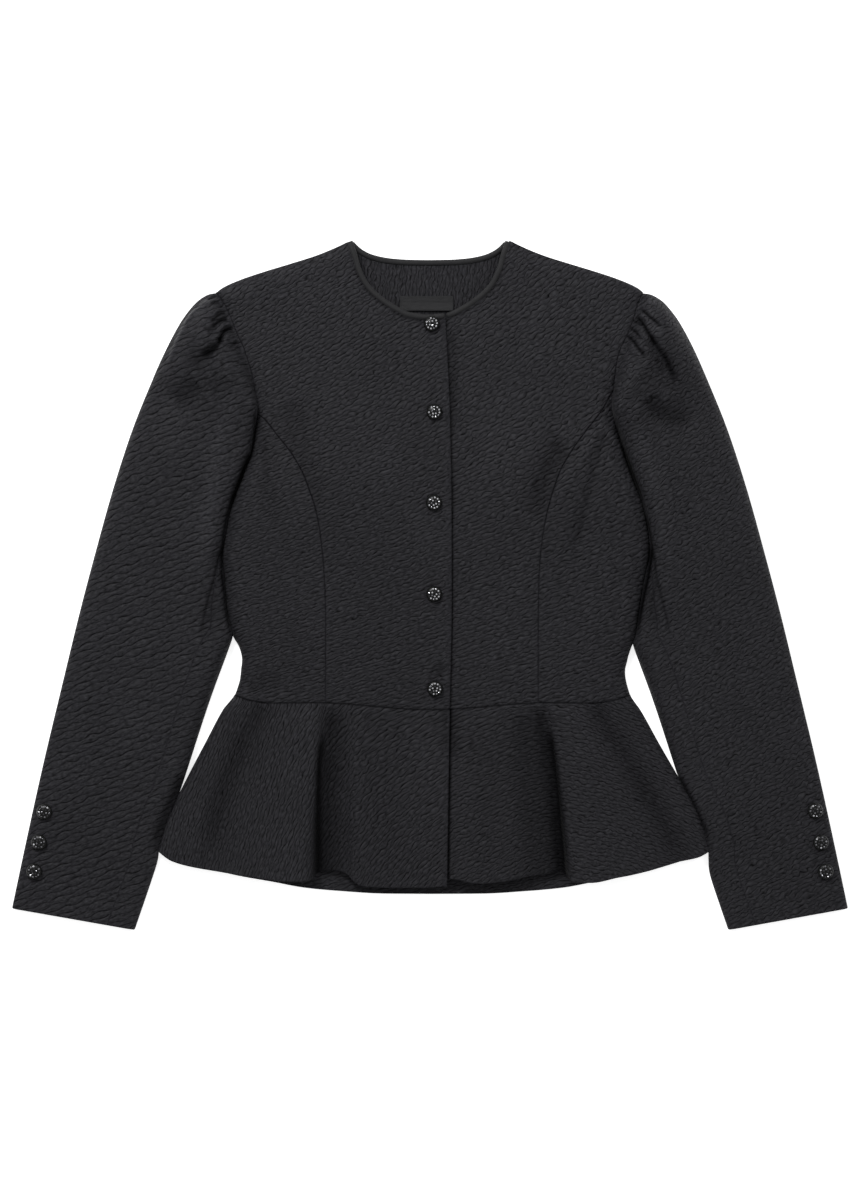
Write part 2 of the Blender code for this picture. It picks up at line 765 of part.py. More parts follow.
def wall(name, surface, s, t, outward, material, s_range=(0.0, 1.0), facing_t=(0.0, 1.0)):
    """Cloth wall: the surface at a grid of places, and the same grid moved in by the cloth's thickness. Past
    the range facing_t it is moved as at that range's end, where the surface still faces clear of its edge."""
    outer = surface(s, t)
    normal = facing(surface, s, np.clip(t, *facing_t), s_range, (0.0, 1.0))
    turn = np.sign((normal * outward).sum()) or 1.0
    inner = outer - CLOTH * turn * normal
    rows, columns = s.shape
    shape = bmesh.new()
    sheets = [
        [[shape.verts.new(Vector(point) * MM) for point in row] for row in sheet] for sheet in (outer, inner)
    ]
    for sheet in sheets:
        for i in range(rows - 1):
            for j in range(columns - 1):
                shape.faces.new((sheet[i][j], sheet[i][j + 1], sheet[i + 1][j + 1], sheet[i + 1][j]))
    rim = [(i, 0) for i in range(rows)] + [(rows - 1, j) for j in range(1, columns)]
    rim += [(i, columns - 1) for i in range(rows - 2, -1, -1)] + [(0, j) for j in range(columns - 2, 0, -1)]
    for (i, j), (k, m) in zip(rim, rim[1:] + rim[:1]):
        shape.faces.new((sheets[0][i][j], sheets[0][k][m], sheets[1][k][m], sheets[1][i][j]))
    bmesh.ops.recalc_face_normals(shape, faces=shape.faces)
    mesh = bpy.data.meshes.new(name)
    shape.to_mesh(mesh)
    shape.free()
    mesh.shade_smooth()
    mesh.set_sharp_from_angle(angle=math.radians(50))
    return new_object(name, mesh, material)


def material(name, colour, roughness):
    made = bpy.data.materials.new(name)
    made.use_nodes = True
    shader = made.node_tree.nodes["Principled BSDF"]
    shader.inputs["Base Color"].default_value = colour
    shader.inputs["Roughness"].default_value = roughness
    shader.inputs["Metallic"].default_value = 0.0
    return made


def grid(s_lines, t_lines):
    s, t = np.meshgrid(s_lines, t_lines)
    return s, t


def towards_edge(count):
    """Lines from 0 to 1, closer together towards 1 where an edge rolls over."""
    return np.sin(np.linspace(0.0, math.pi / 2, count + 1))


def side_name(side):
    return "right" if side == RIGHT else "left"


UP = np.array([0.0, 0.0, 1.0])
FRONT_NECK_LINES = np.append(np.linspace(FRONT_NECK_TURN, 0.96, 8), (0.98, 0.993, 0.998, 1.0))
BACK_SHOULDER_LINES = np.array([0.988, 0.994, 0.9985, 1.0])
TURNED_EDGE_LINES = np.array([0.971, 0.9855, 0.996, 1.0])
SLEEVE_FACING_T = (0.0, 0.98)
GATHERED_LINES = np.linspace(0.09, 0.455, 10)
UPPER_SLEEVE_LINES = np.concatenate(
    ([0.0, 0.012, 0.045], GATHERED_LINES, [0.52, 0.64, 0.78, 0.9, 0.97, 1.0])
)
ROWS_BETWEEN = np.array([0.4, 0.7, 1.5, 2.5, 4.5, 5.5, 6.5, 8.5, 9.5, 10.5, 11.5, 12.5])
SIDE_ROLL_LINES = np.array([0.06, 0.25, 0.55])


def build_bodice(cloth):
    """Centre fronts, side fronts and the two halves of the back."""
    up_front = np.append(np.linspace(0.0, 0.9, 10), (0.95, 1.0)) * FRONT_UNDERARM_TURN
    front_t = np.concatenate((up_front, FRONT_NECK_LINES))
    seam_y = mix(PRINCESS_WAIST_Y, UNDERARM_Y, front_t / FRONT_UNDERARM_TURN)
    side_y = np.append(seam_y[seam_y < SIDE_FRONT_TOP_Y - GAP], SIDE_FRONT_TOP_Y)
    side_t = (side_y - PRINCESS_WAIST_Y) / (SIDE_FRONT_TOP_Y - PRINCESS_WAIST_Y)
    up_back = np.linspace(0.0, BACK_NECK_TURN, 11)
    round_back_neck = np.linspace(BACK_NECK_TURN, 0.972, 9)[1:]
    back_s = np.concatenate((np.linspace(0.0, 0.9, 5), TURNED_EDGE_LINES))
    back_t = np.concatenate((up_back, round_back_neck, BACK_SHOULDER_LINES))
    for side in (RIGHT, LEFT):
        named = side_name(side)
        wall(f"{named}_front", centre_front(side), *grid(np.linspace(0.0, 1.0, 9), front_t), UP, cloth)
        wall(f"{named}_side_front", side_front(side), *grid(towards_edge(6), side_t), UP, cloth)
        wall(f"{named}_back", back(side), *grid(back_s, back_t), -UP, cloth)


def build_peplum(cloth):
    for side in (RIGHT, LEFT):
        shares = flute_rows(side)["share"]
        seam_end = shares[:2] if side == RIGHT else shares[:-3:-1]
        rolled = mix(seam_end[0], seam_end[1], SIDE_ROLL_LINES)
        lines = np.sort(np.concatenate((shares, rolled, (shares[1:] + shares[:-1])[1:-1] / 2)))
        down = np.linspace(0.0, 1.0, 7)
        wall(f"{side_name(side)}_peplum", front_peplum(side), *grid(lines, down), UP, cloth)
    half = np.concatenate((np.linspace(0.0, 0.9, 5), TURNED_EDGE_LINES))
    lines = (1 + np.concatenate((-half[:0:-1], half))) / 2
    wall("back_peplum", back_peplum, *grid(lines, np.linspace(0.0, 1.0, 5)), -UP, cloth)


def build_sleeves(cloth):
    """Upper sleeves, and under-sleeves that run from the seam on top round the inner edge and underside."""
    strip_lines = towards_edge(4)
    turn = SEAM_HEIGHT * (1 - np.cos(np.radians([0, 30, 60, 90])))
    row_lines = np.sort(np.append(np.arange(SLEEVE_ROWS), ROWS_BETWEEN)) / (SLEEVE_ROWS - 1)
    for side in (RIGHT, LEFT):
        surface, seam_place = sleeve_surface(side)
        seam, gap, width = (values[:, None] for values in seam_place(row_lines))
        upper_s = UPPER_SLEEVE_LINES[None, :] * (seam - gap)
        strip = mix(seam + gap, 1.0, strip_lines[None, :])
        near = 1 + turn[None, 1:] / width
        flat = mix(near[:, -1:], 2 - SEAM_HEIGHT / width, np.array([[1 / 3, 2 / 3]]))
        far = 2 - turn[None, ::-1] / width
        under_s = np.concatenate((strip, near, flat, far), axis=1)
        for name, s in (("upper", upper_s), ("under", under_s)):
            t = np.broadcast_to(row_lines[:, None], s.shape)
            outward = UP if name == "upper" else -UP
            piece = f"{side_name(side)}_{name}_sleeve"
            wall(piece, surface, s, t, outward, cloth, (0.0, 2.0), SLEEVE_FACING_T)


def band_rings(line, height_at):
    """Rings of the neck binding: a flattened tube along a line in plan."""
    around = np.linspace(0.0, 2 * math.pi, BAND_SIDES, endpoint=False)
    ahead = np.gradient(line, axis=0)
    sideways = np.stack((ahead[:, 1], -ahead[:, 0]), axis=-1) / np.hypot(*ahead.T)[:, None]
    reach = (BAND_WIDTH - GAP) / 2 * np.cos(around)
    lift = BAND_THICKNESS / 2 * np.sin(around)
    return [
        [(x + sx * r, y + sy * r, z + up) for r, up in zip(reach, lift)]
        for (x, y), (sx, sy), z in zip(line, sideways, height_at(line[:, 0], line[:, 1]))
    ]


def build_neck(binding, label):
    """Binding round the neck opening, and the label on the inside of the back."""
    middle = BAND_WIDTH / 2
    edge = lap_share(RIGHT)
    up_neck = (FRONT_NECK_LINES - FRONT_NECK_TURN) / (1 - FRONT_NECK_TURN)
    for side in (RIGHT, LEFT):
        shares = mix(-lap_share(side), 1.0, up_neck)
        if side == LEFT:
            shares = np.append(edge + LAP_CLEARANCE, shares[shares > edge + 2 * LAP_CLEARANCE])
        line = neck_line(NECK_FRONT, side, shares, middle)
        rings = band_rings(line, lambda x, y: front_height(x, y) - lap_drop(side, x, y) - BAND_SINK)
        loft(f"{side_name(side)}_neck_band", rings, binding, closed=True)
    line = neck_line(NECK_BACK, LEFT, np.linspace(-BACK_BAND_REACH, BACK_BAND_REACH, 21), middle)
    rings = band_rings(line, lambda x, y: back_height(x, y) + BAND_THICKNESS / 2)
    loft("back_neck_band", rings, binding, closed=True)

    bpy.ops.mesh.primitive_cube_add(size=1.0)
    tag = bpy.context.object
    tag.name = tag.data.name = "neck_label"
    tag.data.transform(tag.matrix_basis.Diagonal([size * MM for size in LABEL_SIZE]).to_4x4())
    tag.location = Vector((*LABEL_PLACE, CLOTH + GAP + LABEL_SIZE[2] / 2)) * MM
    tag.data.materials.append(label)
    for owner in tag.users_collection:
        owner.objects.unlink(tag)
    COLLECTION.objects.link(tag)


def add_button(name, seat, normal, jet):
    """Domed button turned from its profile, seated a little clear of the cloth."""
    profile = bpy.data.meshes.new(name)
    spots = [(r * MM, 0.0, z * MM) for r, z in zip(*BUTTON_PROFILE.values())]
    profile.from_pydata(spots, [(i, i + 1) for i in range(len(spots) - 1)], [])
    button = new_object(name, profile, jet)
    turn = button.modifiers.new("turned", "SCREW")
    turn.steps = turn.render_steps = BUTTON_SIDES
    turn.use_merge_vertices = True
    turn.merge_threshold = 0.00005
    turn.use_smooth_shade = True
    button.rotation_mode = "QUATERNION"
    button.rotation_quaternion = Vector((0, 0, 1)).rotation_difference(Vector(normal))
    button.location = Vector(seat + GAP * normal) * MM


def build_buttons(jet):
    def front(x, y):
        return np.stack((x, y, front_height(x, y)), axis=-1)

    for number, (x, y) in enumerate(zip(*FRONT_BUTTONS.values()), start=1):
        normal = facing(front, np.array([x]), np.array([y]), (-500.0, 500.0), (-500.0, 500.0))[0]
        add_button(f"front_button_{number}", np.array([x, y, front_height(x, y)]), normal, jet)
    places = np.stack(grid(np.linspace(0.02, 0.3, 200), np.linspace(0.0, 0.25, 200)), axis=-1).reshape(-1, 2)
    for side in (RIGHT, LEFT):
        surface, _ = sleeve_surface(side)
        spots = surface(places[:, 0], places[:, 1])
        for number, (out, y) in enumerate(zip(*CUFF_BUTTONS.values()), start=1):
            nearest = np.argmin(np.hypot(spots[:, 0] - side * out, spots[:, 1] - y))
            s, t = places[nearest, :1], places[nearest, 1:]
            normal = facing(surface, s, t, (0.0, 2.0), (0.0, 1.0))[0]
            normal = normal * np.sign(normal[2])
            add_button(f"{side_name(side)}_cuff_button_{number}", spots[nearest], normal, jet)


def build():
    cloth = material("crinkled_cloth", *CLOTH_FINISH)
    binding = material("neck_binding", *BAND_FINISH)
    label = material("label_tape", *LABEL_FINISH)
    jet = material("jet_button", *BUTTON_FINISH)
    build_bodice(cloth)
    build_peplum(cloth)
    build_sleeves(cloth)
    build_neck(binding, label)
    build_buttons(jet)


for leftover in list(bpy.data.objects):
    bpy.data.objects.remove(leftover, do_unlink=True)
COLLECTION = bpy.data.collections.new("peplum_cardigan_jacket")
bpy.context.scene.collection.children.link(COLLECTION)
build()
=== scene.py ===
"""Looks of the puff-sleeved peplum cardigan jacket, laid flat on its back and seen from straight above.

Sizes are millimetres until a mesh is made, in the same frame as the solids: +X to the right of someone
looking down at the jacket, +Y towards its neck and +Z up from the surface. Right and left in names are the
wearer's. Every cloth piece is a thin shell on its solid's own surface, with its crinkle, creases and turned
edges in the mesh.
"""

import itertools
import math

import bmesh
import bpy
import numpy as np
from mathutils import Matrix, Vector


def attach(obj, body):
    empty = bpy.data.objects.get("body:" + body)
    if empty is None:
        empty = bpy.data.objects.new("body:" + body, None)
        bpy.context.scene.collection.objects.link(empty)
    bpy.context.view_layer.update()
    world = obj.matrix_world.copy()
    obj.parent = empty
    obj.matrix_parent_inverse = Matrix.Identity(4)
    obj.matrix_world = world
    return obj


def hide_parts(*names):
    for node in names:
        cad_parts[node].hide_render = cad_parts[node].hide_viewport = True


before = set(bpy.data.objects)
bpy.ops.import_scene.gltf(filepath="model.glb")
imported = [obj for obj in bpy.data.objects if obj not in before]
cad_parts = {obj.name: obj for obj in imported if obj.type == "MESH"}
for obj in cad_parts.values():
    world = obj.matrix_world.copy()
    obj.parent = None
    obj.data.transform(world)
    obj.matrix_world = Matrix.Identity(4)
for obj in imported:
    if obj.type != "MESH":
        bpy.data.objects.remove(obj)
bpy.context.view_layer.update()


def table(columns, *rows):
    """A table of sizes, each named column as an array."""
    return dict(zip(columns.split(), np.array(rows, dtype=float).T))


MM = 0.001
UP = np.array([0.0, 0.0, 1.0])
RIGHT, LEFT = -1, 1

# Cloth: its thickness, how far panels stand apart at the waist (they overlap), how far buttons and label
# stand clear of it, how high the side seams lie, and how tightly and how far in its edges roll
CLOTH = 1.8
WAIST_GAP = -1.0
SEAT = 0.3
SEAM_HEIGHT = 5.0
TIGHTEST_ROLL = 3.6
NARROWEST_ROLL = 2.0
WIDEST_ROLL = 30.0
SIDE_ROLL = 18.0

# Outline of the body from the hem's corner to the shoulder point: half its width, where its middle lies, and
# how far the front stands open from the back there (0 at a closed seam, most in the middle of the armhole)
BODY_EDGE = table(
    "y half middle open",
    (-246, 257, 3.5, 0),
    (-212, 246, 3.5, 0),
    (-189, 234.4, 3, 0),
    (-143, 209.3, 1.9, 0),
    (-115, 194.1, 1.6, 0),
    (-99, 183, 2.4, 0),
    (-78, 178.4, 3, 0),
    (-68, 179.1, 4.5, 0),
    (-57, 182, 5, 0),
    (-45, 187.8, 4.3, 0),
    (-22, 192.4, 3, 0),
    (11, 196.4, 4.5, 0),
    (30, 199.2, 5.4, 0),
    (52, 196.7, 7, 0),
    (71, 193, 7, 0),
    (92, 186.3, 6.8, 0),
    (121, 175.4, 7.5, 0.05),
    (142, 170.7, 6, 0.3),
    (170.5, 165.8, 4.2, 0.68),
    (196, 168.7, 3.3, 0.82),
    (218, 174.1, 2.1, 0.87),
    (232, 180.5, 2.3, 0.88),
    (246, 186.1, 2.3, 0.8),
    (261, 191.8, 1.1, 0.5),
    (273, 198.6, -0.5, 0.35),
)
WAIST_SIDE_Y = -100.5
HEM_CORNER_Y = BODY_EDGE["y"][0]
UNDERARM_Y = 170.5
SHOULDER_POINT_Y = BODY_EDGE["y"][-1]
WIDEST_OPEN = BODY_EDGE["open"].max()

# Seam between the centre front and the side front
PRINCESS = {
    RIGHT: table(
        "y out",
        (-115, 97.1),
        (-29, 96.7),
        (11, 98),
        (45, 101.1),
        (71, 105.8),
        (92, 112.8),
        (104.6, 117.7),
        (123.2, 128.3),
        (140.4, 141.8),
        (155.8, 154.2),
        (161, 161.9),
    ),
    LEFT: table(
        "y out",
        (-115, 100.5),
        (-29, 100.5),
        (11, 101.3),
        (45, 104.3),
        (71, 109.2),
        (92, 115.2),
        (107.4, 120.9),
        (126.9, 132.1),
        (145.5, 145.8),
        (164.1, 160),
        (173, 165.1),
        (182, 170.4),
    ),
}
PRINCESS_TOP_Y = {RIGHT: 161, LEFT: 182}
SIDE_FRONT_DROP = 1.5
PRINCESS_WAIST_Y = -108.0 + WAIST_GAP / 2

# Seams that run across: distance out from the body's middle, and height up the garment
WAIST_MIDDLE = 1.9
WAIST = table(
    "out y",
    (0, -114.4),
    (12, -114.3),
    (46, -112),
    (106, -108),
    (146, -108.3),
    (168, -106),
    (184, WAIST_SIDE_Y),
)
SHOULDER = table(
    "out y",
    (71.6, 322.8),
    (84.6, 316.2),
    (106, 307.4),
    (129.7, 299.9),
    (153.9, 292.5),
    (175.8, 285.1),
    (192.5, 277.6),
    (198.6, SHOULDER_POINT_Y),
)
SHOULDER_ROLL = 16.0
SHOULDER_EASE = 6

# Neck opening, and the binding round it
NECK_MIDDLE = -0.9
NECK_FRONT = table(
    "out y",
    (0, 252.5),
    (17.2, 254.6),
    (29.5, 260.2),
    (43.8, 269.7),
    (55.6, 281.3),
    (62.9, 295.7),
    (66.3, 307.2),
    (70.8, 321.2),
)
NECK_BACK = table(
    "out y",
    (0, 303.6),
    (21, 304),
    (34.5, 305),
    (45.5, 306.8),
    (54, 309.2),
    (59.5, 311.8),
    (64, 314.8),
    (68, 318.6),
    (70.8, 321.6),
)
BAND_WIDTH = 5.3
BAND_THICKNESS = 3.6
BAND_SINK = 0.9
BAND_TUCK = 1.2
BACK_BAND_REACH = 0.98
BACK_SHOULDER_OUT = 77.0

# Front fastening: the right front's edge, and how far it laps past the middle
LAP_EDGE = table("y x", (-280, 15.8), (-114, 18.4), (-15, 20.3), (80, 20), (160, 18.6), (250, 14.5))
LAP_WIDTH = 31.0
LAP_DROP = CLOTH + 0.6
LAP_FADE = 55.0
LAP_CLEARANCE = 0.01
LAP_SHARES = (0, 0.5, 501)

# How high the front stands over the surface along the middle, and the fullness over the bust
CROWN = table(
    "y height",
    (-114, 13.5),
    (-85, 15.5),
    (-40, 18),
    (30, 21),
    (90, 22.5),
    (140, 21),
    (190, 18),
    (230, 15.5),
    (260, 13),
    (320, 9),
)
BUST = table("x y rise reach", (-104, 78, 5, 58), (107, 78, 5, 58))

# Sleeve sections from cuff to armhole: its outer edge, how high up the inner edge the section ends, how high
# it stands, and how far in from the inner edge the under-sleeve seam shows
SLEEVE = table(
    "outer_x outer_y inner_y height seam",
    (388.5, -299, -319.1, 11, 26),
    (374.5, -233, -262, 12.5, 25),
    (359, -163, -200, 14.5, 25),
    (342.5, -94, -138, 16.5, 25.5),
    (325.5, -24, -74, 18.5, 27),
    (310.5, 33, -18, 20.5, 15),
    (294, 92, 37, 22, 3),
    (276, 147, 86, 23, 3),
    (259.5, 188, 122, 24.5, 3),
    (243, 225, 146, 31, 3),
    (228, 251.5, 159, 36, 3),
    (215.5, 266.3, 166, 31, 3),
    (206.6, 271.8, 169, 24, 3),
    (200.4, 273.4, 170.3, 16, 3),
)
SLEEVE_ROWS = len(SLEEVE["outer_x"])
SLEEVE_INNER_MIDDLE = 1.4
SLEEVE_INNER = table(
    "y half",
    (-319.1, 275.7),
    (-254.4, 253.6),
    (-180, 229.8),
    (-105.6, 205.7),
    (-49.8, 185.3),
    (170, 110),
)

# How far in the sleeve's inner edge rolls; how far it laps onto the armhole, and more at both ends; how close
# it lies to the body below; and within how many rows it bends and levels to the armhole
INNER_ROLL = 13.0
ARMHOLE_GAP = -0.8
ARMHOLE_EASE = -1.0
ARMHOLE_END = 8
CREVICE = -2.0
CREVICE_SOFTNESS = 2.0
ARMHOLE_BEND_ROWS = 4.0
ARMHOLE_BLEND_ROWS = 1.6

# Gathers in the sleeve heads: share of the armhole down from the shoulder, reach down the sleeve, depth,
# width, and how far the crease leans towards the underarm
GATHERS = {
    RIGHT: table(
        "at reach depth width lean",
        (0.09, 24, 2.5, 4.5, 0),
        (0.18, 30, 3.5, 4.5, 0),
        (0.255, 34, 3.5, 4.5, 0),
        (0.335, 66, 6, 6, 0.02),
        (0.455, 26, 2.5, 5, 0),
    ),
    LEFT: table(
        "at reach depth width lean",
        (0.05, 22, 2.5, 4.5, 0),
        (0.13, 36, 3.5, 4.5, 0.02),
        (0.215, 82, 6, 6.5, 0.08),
        (0.32, 26, 2.5, 4.5, 0),
        (0.41, 40, 3.5, 5, 0.02),
    ),
}
GATHER_LINE = 0.25
GATHER_START = 8.0
GATHER_SHARE = 0.45

# Soft hollow below each puff
HOLLOW = table("x y depth reach", (-242, 171, 4, 26), (232, 163, 4, 26))

# Flutes of the front peplums, from the side to the lap or from the lap to the side: where each line leaves
# the waist seam, where it meets the hem, and its height there
FLUTES = {
    RIGHT: table(
        "waist_x hem_x hem_y height",
        (-173.9, -239.9, -255, 14),
        (-168.3, -222.3, -259.9, 18),
        (-156.2, -198.1, -264.4, 14.5),
        (-143.2, -167.4, -269.2, 20),
        (-124.6, -136.7, -273, 27),
        (-109.7, -118.1, -273.4, 29),
        (-102.3, -109.7, -271.6, 24),
        (-98.6, -105.1, -268.3, 14),
        (-95.8, -101.4, -264.6, 8.5),
        (-87.4, -89.3, -263.7, 8),
        (-78.1, -78.1, -266.4, 10.5),
        (-72.5, -71.6, -273, 15.5),
        (-63.2, -62.3, -278.1, 19),
        (-27.9, -27.9, -279.5, 18.5),
        (-4, -5, -279.3, 18.3),
        (18.4, 15.8, -278.1, 18),
    ),
    LEFT: table(
        "waist_x hem_x hem_y height",
        (-12.1, -13, -273, 13.5),
        (3, 2.8, -272.2, 13.7),
        (18.6, 18.6, -271.6, 14),
        (43.7, 45.6, -275.7, 16.5),
        (63.2, 67.9, -273.9, 17),
        (83.7, 93.9, -268.8, 13),
        (97.7, 112.5, -266, 9),
        (105.1, 121.8, -265.1, 8),
        (108.3, 125.1, -266.9, 12),
        (110.7, 127.4, -272, 21),
        (117.2, 133.9, -274.4, 27),
        (128.3, 148.8, -274.4, 29),
        (143.2, 174.8, -269.7, 24),
        (156.2, 201.8, -264.2, 18),
        (169.3, 227.9, -256.2, 15),
        (180.4, 249.2, -251.6, 13),
    ),
}
FLUTE_EDGE_HEIGHT = 12.0
BACK_HEM = table(
    "out y",
    (0, -285.8),
    (45, -285.5),
    (88, -283),
    (120, -280),
    (150, -274.5),
    (186, -268),
    (225, -257),
    (257, HEM_CORNER_Y),
)

# Label, lying on the inside of the back
LABEL_SIZE = (50, 14)
LABEL_PLACE = (-3, 263)

# Places of the buttons
FRONT_BUTTONS = table("x y", (1.6, 243.6), (4, 161.7), (3.7, 77.7), (3.9, -6.8), (4.7, -94.6))
CUFF_BUTTONS = table("out y", (357.5, -208.5), (362.6, -237.2), (367.2, -264.5))


def smooth(knots, values, at):
    """Values between knots on a curve that never overshoots them, held level past both ends."""
    at = np.clip(np.asarray(at, dtype=float), knots[0], knots[-1])
    step = np.diff(knots)
    slope = np.diff(values) / step
    tangent = np.concatenate((slope[:1], np.zeros(len(slope) - 1), slope[-1:]))
    product = slope[:-1] * slope[1:]
    agree = product > 0
    tangent[1:-1][agree] = 2 * product[agree] / (slope[:-1] + slope[1:])[agree]
    left = np.clip(np.searchsorted(knots, at, side="right") - 1, 0, len(step) - 1)
    t = (at - knots[left]) / step[left]
    start = values[left] * (1 + 2 * t) * (1 - t) ** 2 + tangent[left] * step[left] * t * (1 - t) ** 2
    end = values[left + 1] * t * t * (3 - 2 * t) + tangent[left + 1] * step[left] * t * t * (t - 1)
    return start + end


def read(rows, column, by, at):
    """One column of a table, read smoothly at a place given by another column."""
    return smooth(rows[by], rows[column], at)


def ease(t):
    """Smooth step from 0 to 1."""
    t = np.clip(t, 0.0, 1.0)
    return t * t * (3 - 2 * t)


def mix(start, end, share):
    return start + (end - start) * share


def points(x, y):
    x, y = np.broadcast_arrays(x, y)
    return np.stack((x, y), axis=-1)


def roll(distance, reach):
    """Rise of a rolled edge: upright at the edge, level once reach is passed."""
    left = 1 - np.clip(distance / reach, 0.0, 1.0)
    return np.sqrt(np.clip(1 - left * left, 0.0, 1.0))


def roll_reach(rise):
    """How far in an edge rolls, so that it is never tighter than the wall can follow."""
    return np.clip(rise * rise / TIGHTEST_ROLL, NARROWEST_ROLL, WIDEST_ROLL)


def edge_x(side, y):
    return read(BODY_EDGE, "middle", "y", y) + side * read(BODY_EDGE, "half", "y", y)


def princess_x(side, y):
    return side * read(PRINCESS[side], "out", "y", y)


def waist_y(x):
    return read(WAIST, "y", "out", np.abs(x - WAIST_MIDDLE))


def shoulder_y(x):
    return read(SHOULDER, "y", "out", np.abs(x))


def lap_x(side, y):
    """Front edge of the right front, or the hidden edge of the left front behind it."""
    edge = read(LAP_EDGE, "x", "y", y)
    return edge if side == RIGHT else edge - LAP_WIDTH


def from_side(x, y):
    """Distance in from the body's outline."""
    return read(BODY_EDGE, "half", "y", y) - np.abs(x - read(BODY_EDGE, "middle", "y", y))


def mound(rows, size, x, y):
    """Sum of the soft round mounds that a table lists."""
    total = 0.0 * x
    for middle_x, middle_y, high, reach in zip(rows["x"], rows["y"], rows[size], rows["reach"]):
        total = total + high * np.exp(-((x - middle_x) ** 2 + (y - middle_y) ** 2) / reach**2)
    return total


def crown(x, y):
    """Height of the front where no edge pulls it down."""
    return read(CROWN, "height", "y", y) + mound(BUST, "rise", x, y)


def front_height(x, y):
    """Height of the bodice front's outer face."""
    rise = crown(x, y) - SEAM_HEIGHT
    opened = read(BODY_EDGE, "open", "y", y)
    at_side = opened + (1 - opened) * roll(from_side(x, y), np.minimum(roll_reach(rise), SIDE_ROLL))
    at_shoulder = roll(shoulder_y(x) - y, SHOULDER_ROLL)
    return SEAM_HEIGHT + rise * at_side * at_shoulder


def back_height(x, y):
    """Height of the back's underside: flat on the surface, turned up to the side and shoulder seams."""
    opened = np.clip(read(BODY_EDGE, "open", "y", y) / WIDEST_OPEN, 0.0, 1.0)
    at_side = opened + (1 - opened) * roll(from_side(x, y), SEAM_HEIGHT)
    at_shoulder = roll(shoulder_y(x) - y, SEAM_HEIGHT)
    return SEAM_HEIGHT * (1 - at_side * at_shoulder)


def lap_drop(side, x, y):
    """How far the left front is pressed down where the right front lies over it."""
    if side == RIGHT:
        return 0.0 * x
    past = x - lap_x(RIGHT, y) - BAND_WIDTH
    return LAP_DROP * (1 - ease(past / LAP_FADE))


def neck_line(rows, side, share, offset):
    """Point along a neck edge, moved out into the cloth; share runs from the middle (0) to a shoulder (1)."""
    out = np.concatenate((-rows["out"][:0:-1], rows["out"]))
    up = np.concatenate((rows["y"][:0:-1], rows["y"]))
    length = np.concatenate(([0.0], np.cumsum(np.hypot(np.diff(out), np.diff(up)))))
    knots = 2 * length / length[-1] - 1
    nudge = 1e-4
    here = points(smooth(knots, out, share), smooth(knots, up, share))
    ahead = np.clip(share + nudge, -1.0, 1.0)
    behind = np.clip(share - nudge, -1.0, 1.0)
    along_x = smooth(knots, out, ahead) - smooth(knots, out, behind)
    along_y = smooth(knots, up, ahead) - smooth(knots, up, behind)
    outward = points(along_y, -along_x) / np.hypot(along_x, along_y)[..., None]
    moved = here + np.asarray(offset)[..., None] * outward
    return points(NECK_MIDDLE + side * moved[..., 0], moved[..., 1])


def lap_share(side):
    """Share of the front neck seam, past the middle, at which a front's own edge meets it."""
    shares = np.linspace(*LAP_SHARES)
    out = neck_line(NECK_FRONT, LEFT, shares, BAND_WIDTH)[:, 0] - NECK_MIDDLE
    return np.interp(abs(lap_x(side, NECK_FRONT["y"][0]) - NECK_MIDDLE), out, shares)


def chain(first, second, turn):
    """One line made of two, the second starting at the share called turn."""

    def line(t):
        before = first(np.clip(t / turn, 0.0, 1.0))
        after = second(np.clip((t - turn) / (1 - turn), 0.0, 1.0))
        return np.where((t <= turn)[..., None], before, after)

    return line


def patch(bottom, top, start, end):
    """Plan of a panel between four lines: s runs from start to end, t from bottom to top."""
    corner = np.array([0.0, 1.0])
    (b0, b1), (t0, t1) = bottom(corner), top(corner)

    def plan(s, t):
        a, b = s[..., None], t[..., None]
        along = (1 - b) * bottom(s) + b * top(s) + (1 - a) * start(t) + a * end(t)
        return along - (1 - a) * (1 - b) * b0 - a * (1 - b) * b1 - (1 - a) * b * t0 - a * b * t1

    return plan


def across(start, end, height_of):
    """Line between two points, taking its height up the garment from a seam but meeting both points."""
    fix_start = start[1] - height_of(start[0])
    fix_end = end[1] - height_of(end[0])

    def line(s):
        x = mix(start[0], end[0], s)
        return points(x, height_of(x) + mix(fix_start, fix_end, s))

    return line


def only(line, t):
    return line(np.array([t]))[0]


def onto_shoulder(line):
    """The same line, eased so that its end lies on the shoulder seam."""
    x, y = only(line, 1.0)
    miss = shoulder_y(x) - y

    def eased(t):
        return line(t) + points(0.0 * t, miss * t**SHOULDER_EASE)

    return eased


def panel_plan(start, end):
    """Plan of a bodice panel from the waist seam to the shoulder seam."""
    bottom = across(only(start, 0.0), only(end, 0.0), lambda x: waist_y(x) + WAIST_GAP / 2)
    top = across(only(start, 1.0), only(end, 1.0), shoulder_y)
    return patch(bottom, top, start, end)


def lifted(plan, height):
    """Surface that stands at a height over each place of a plan."""

    def surface(s, t):
        flat = plan(s, t)
        x, y = flat[..., 0], flat[..., 1]
        return np.stack((x, y, height(x, y)), axis=-1)

    return surface


# Shares of a centre front's two edges at which its neck and its armhole start
FRONT_NECK_TURN = 0.70
FRONT_UNDERARM_TURN = 0.64


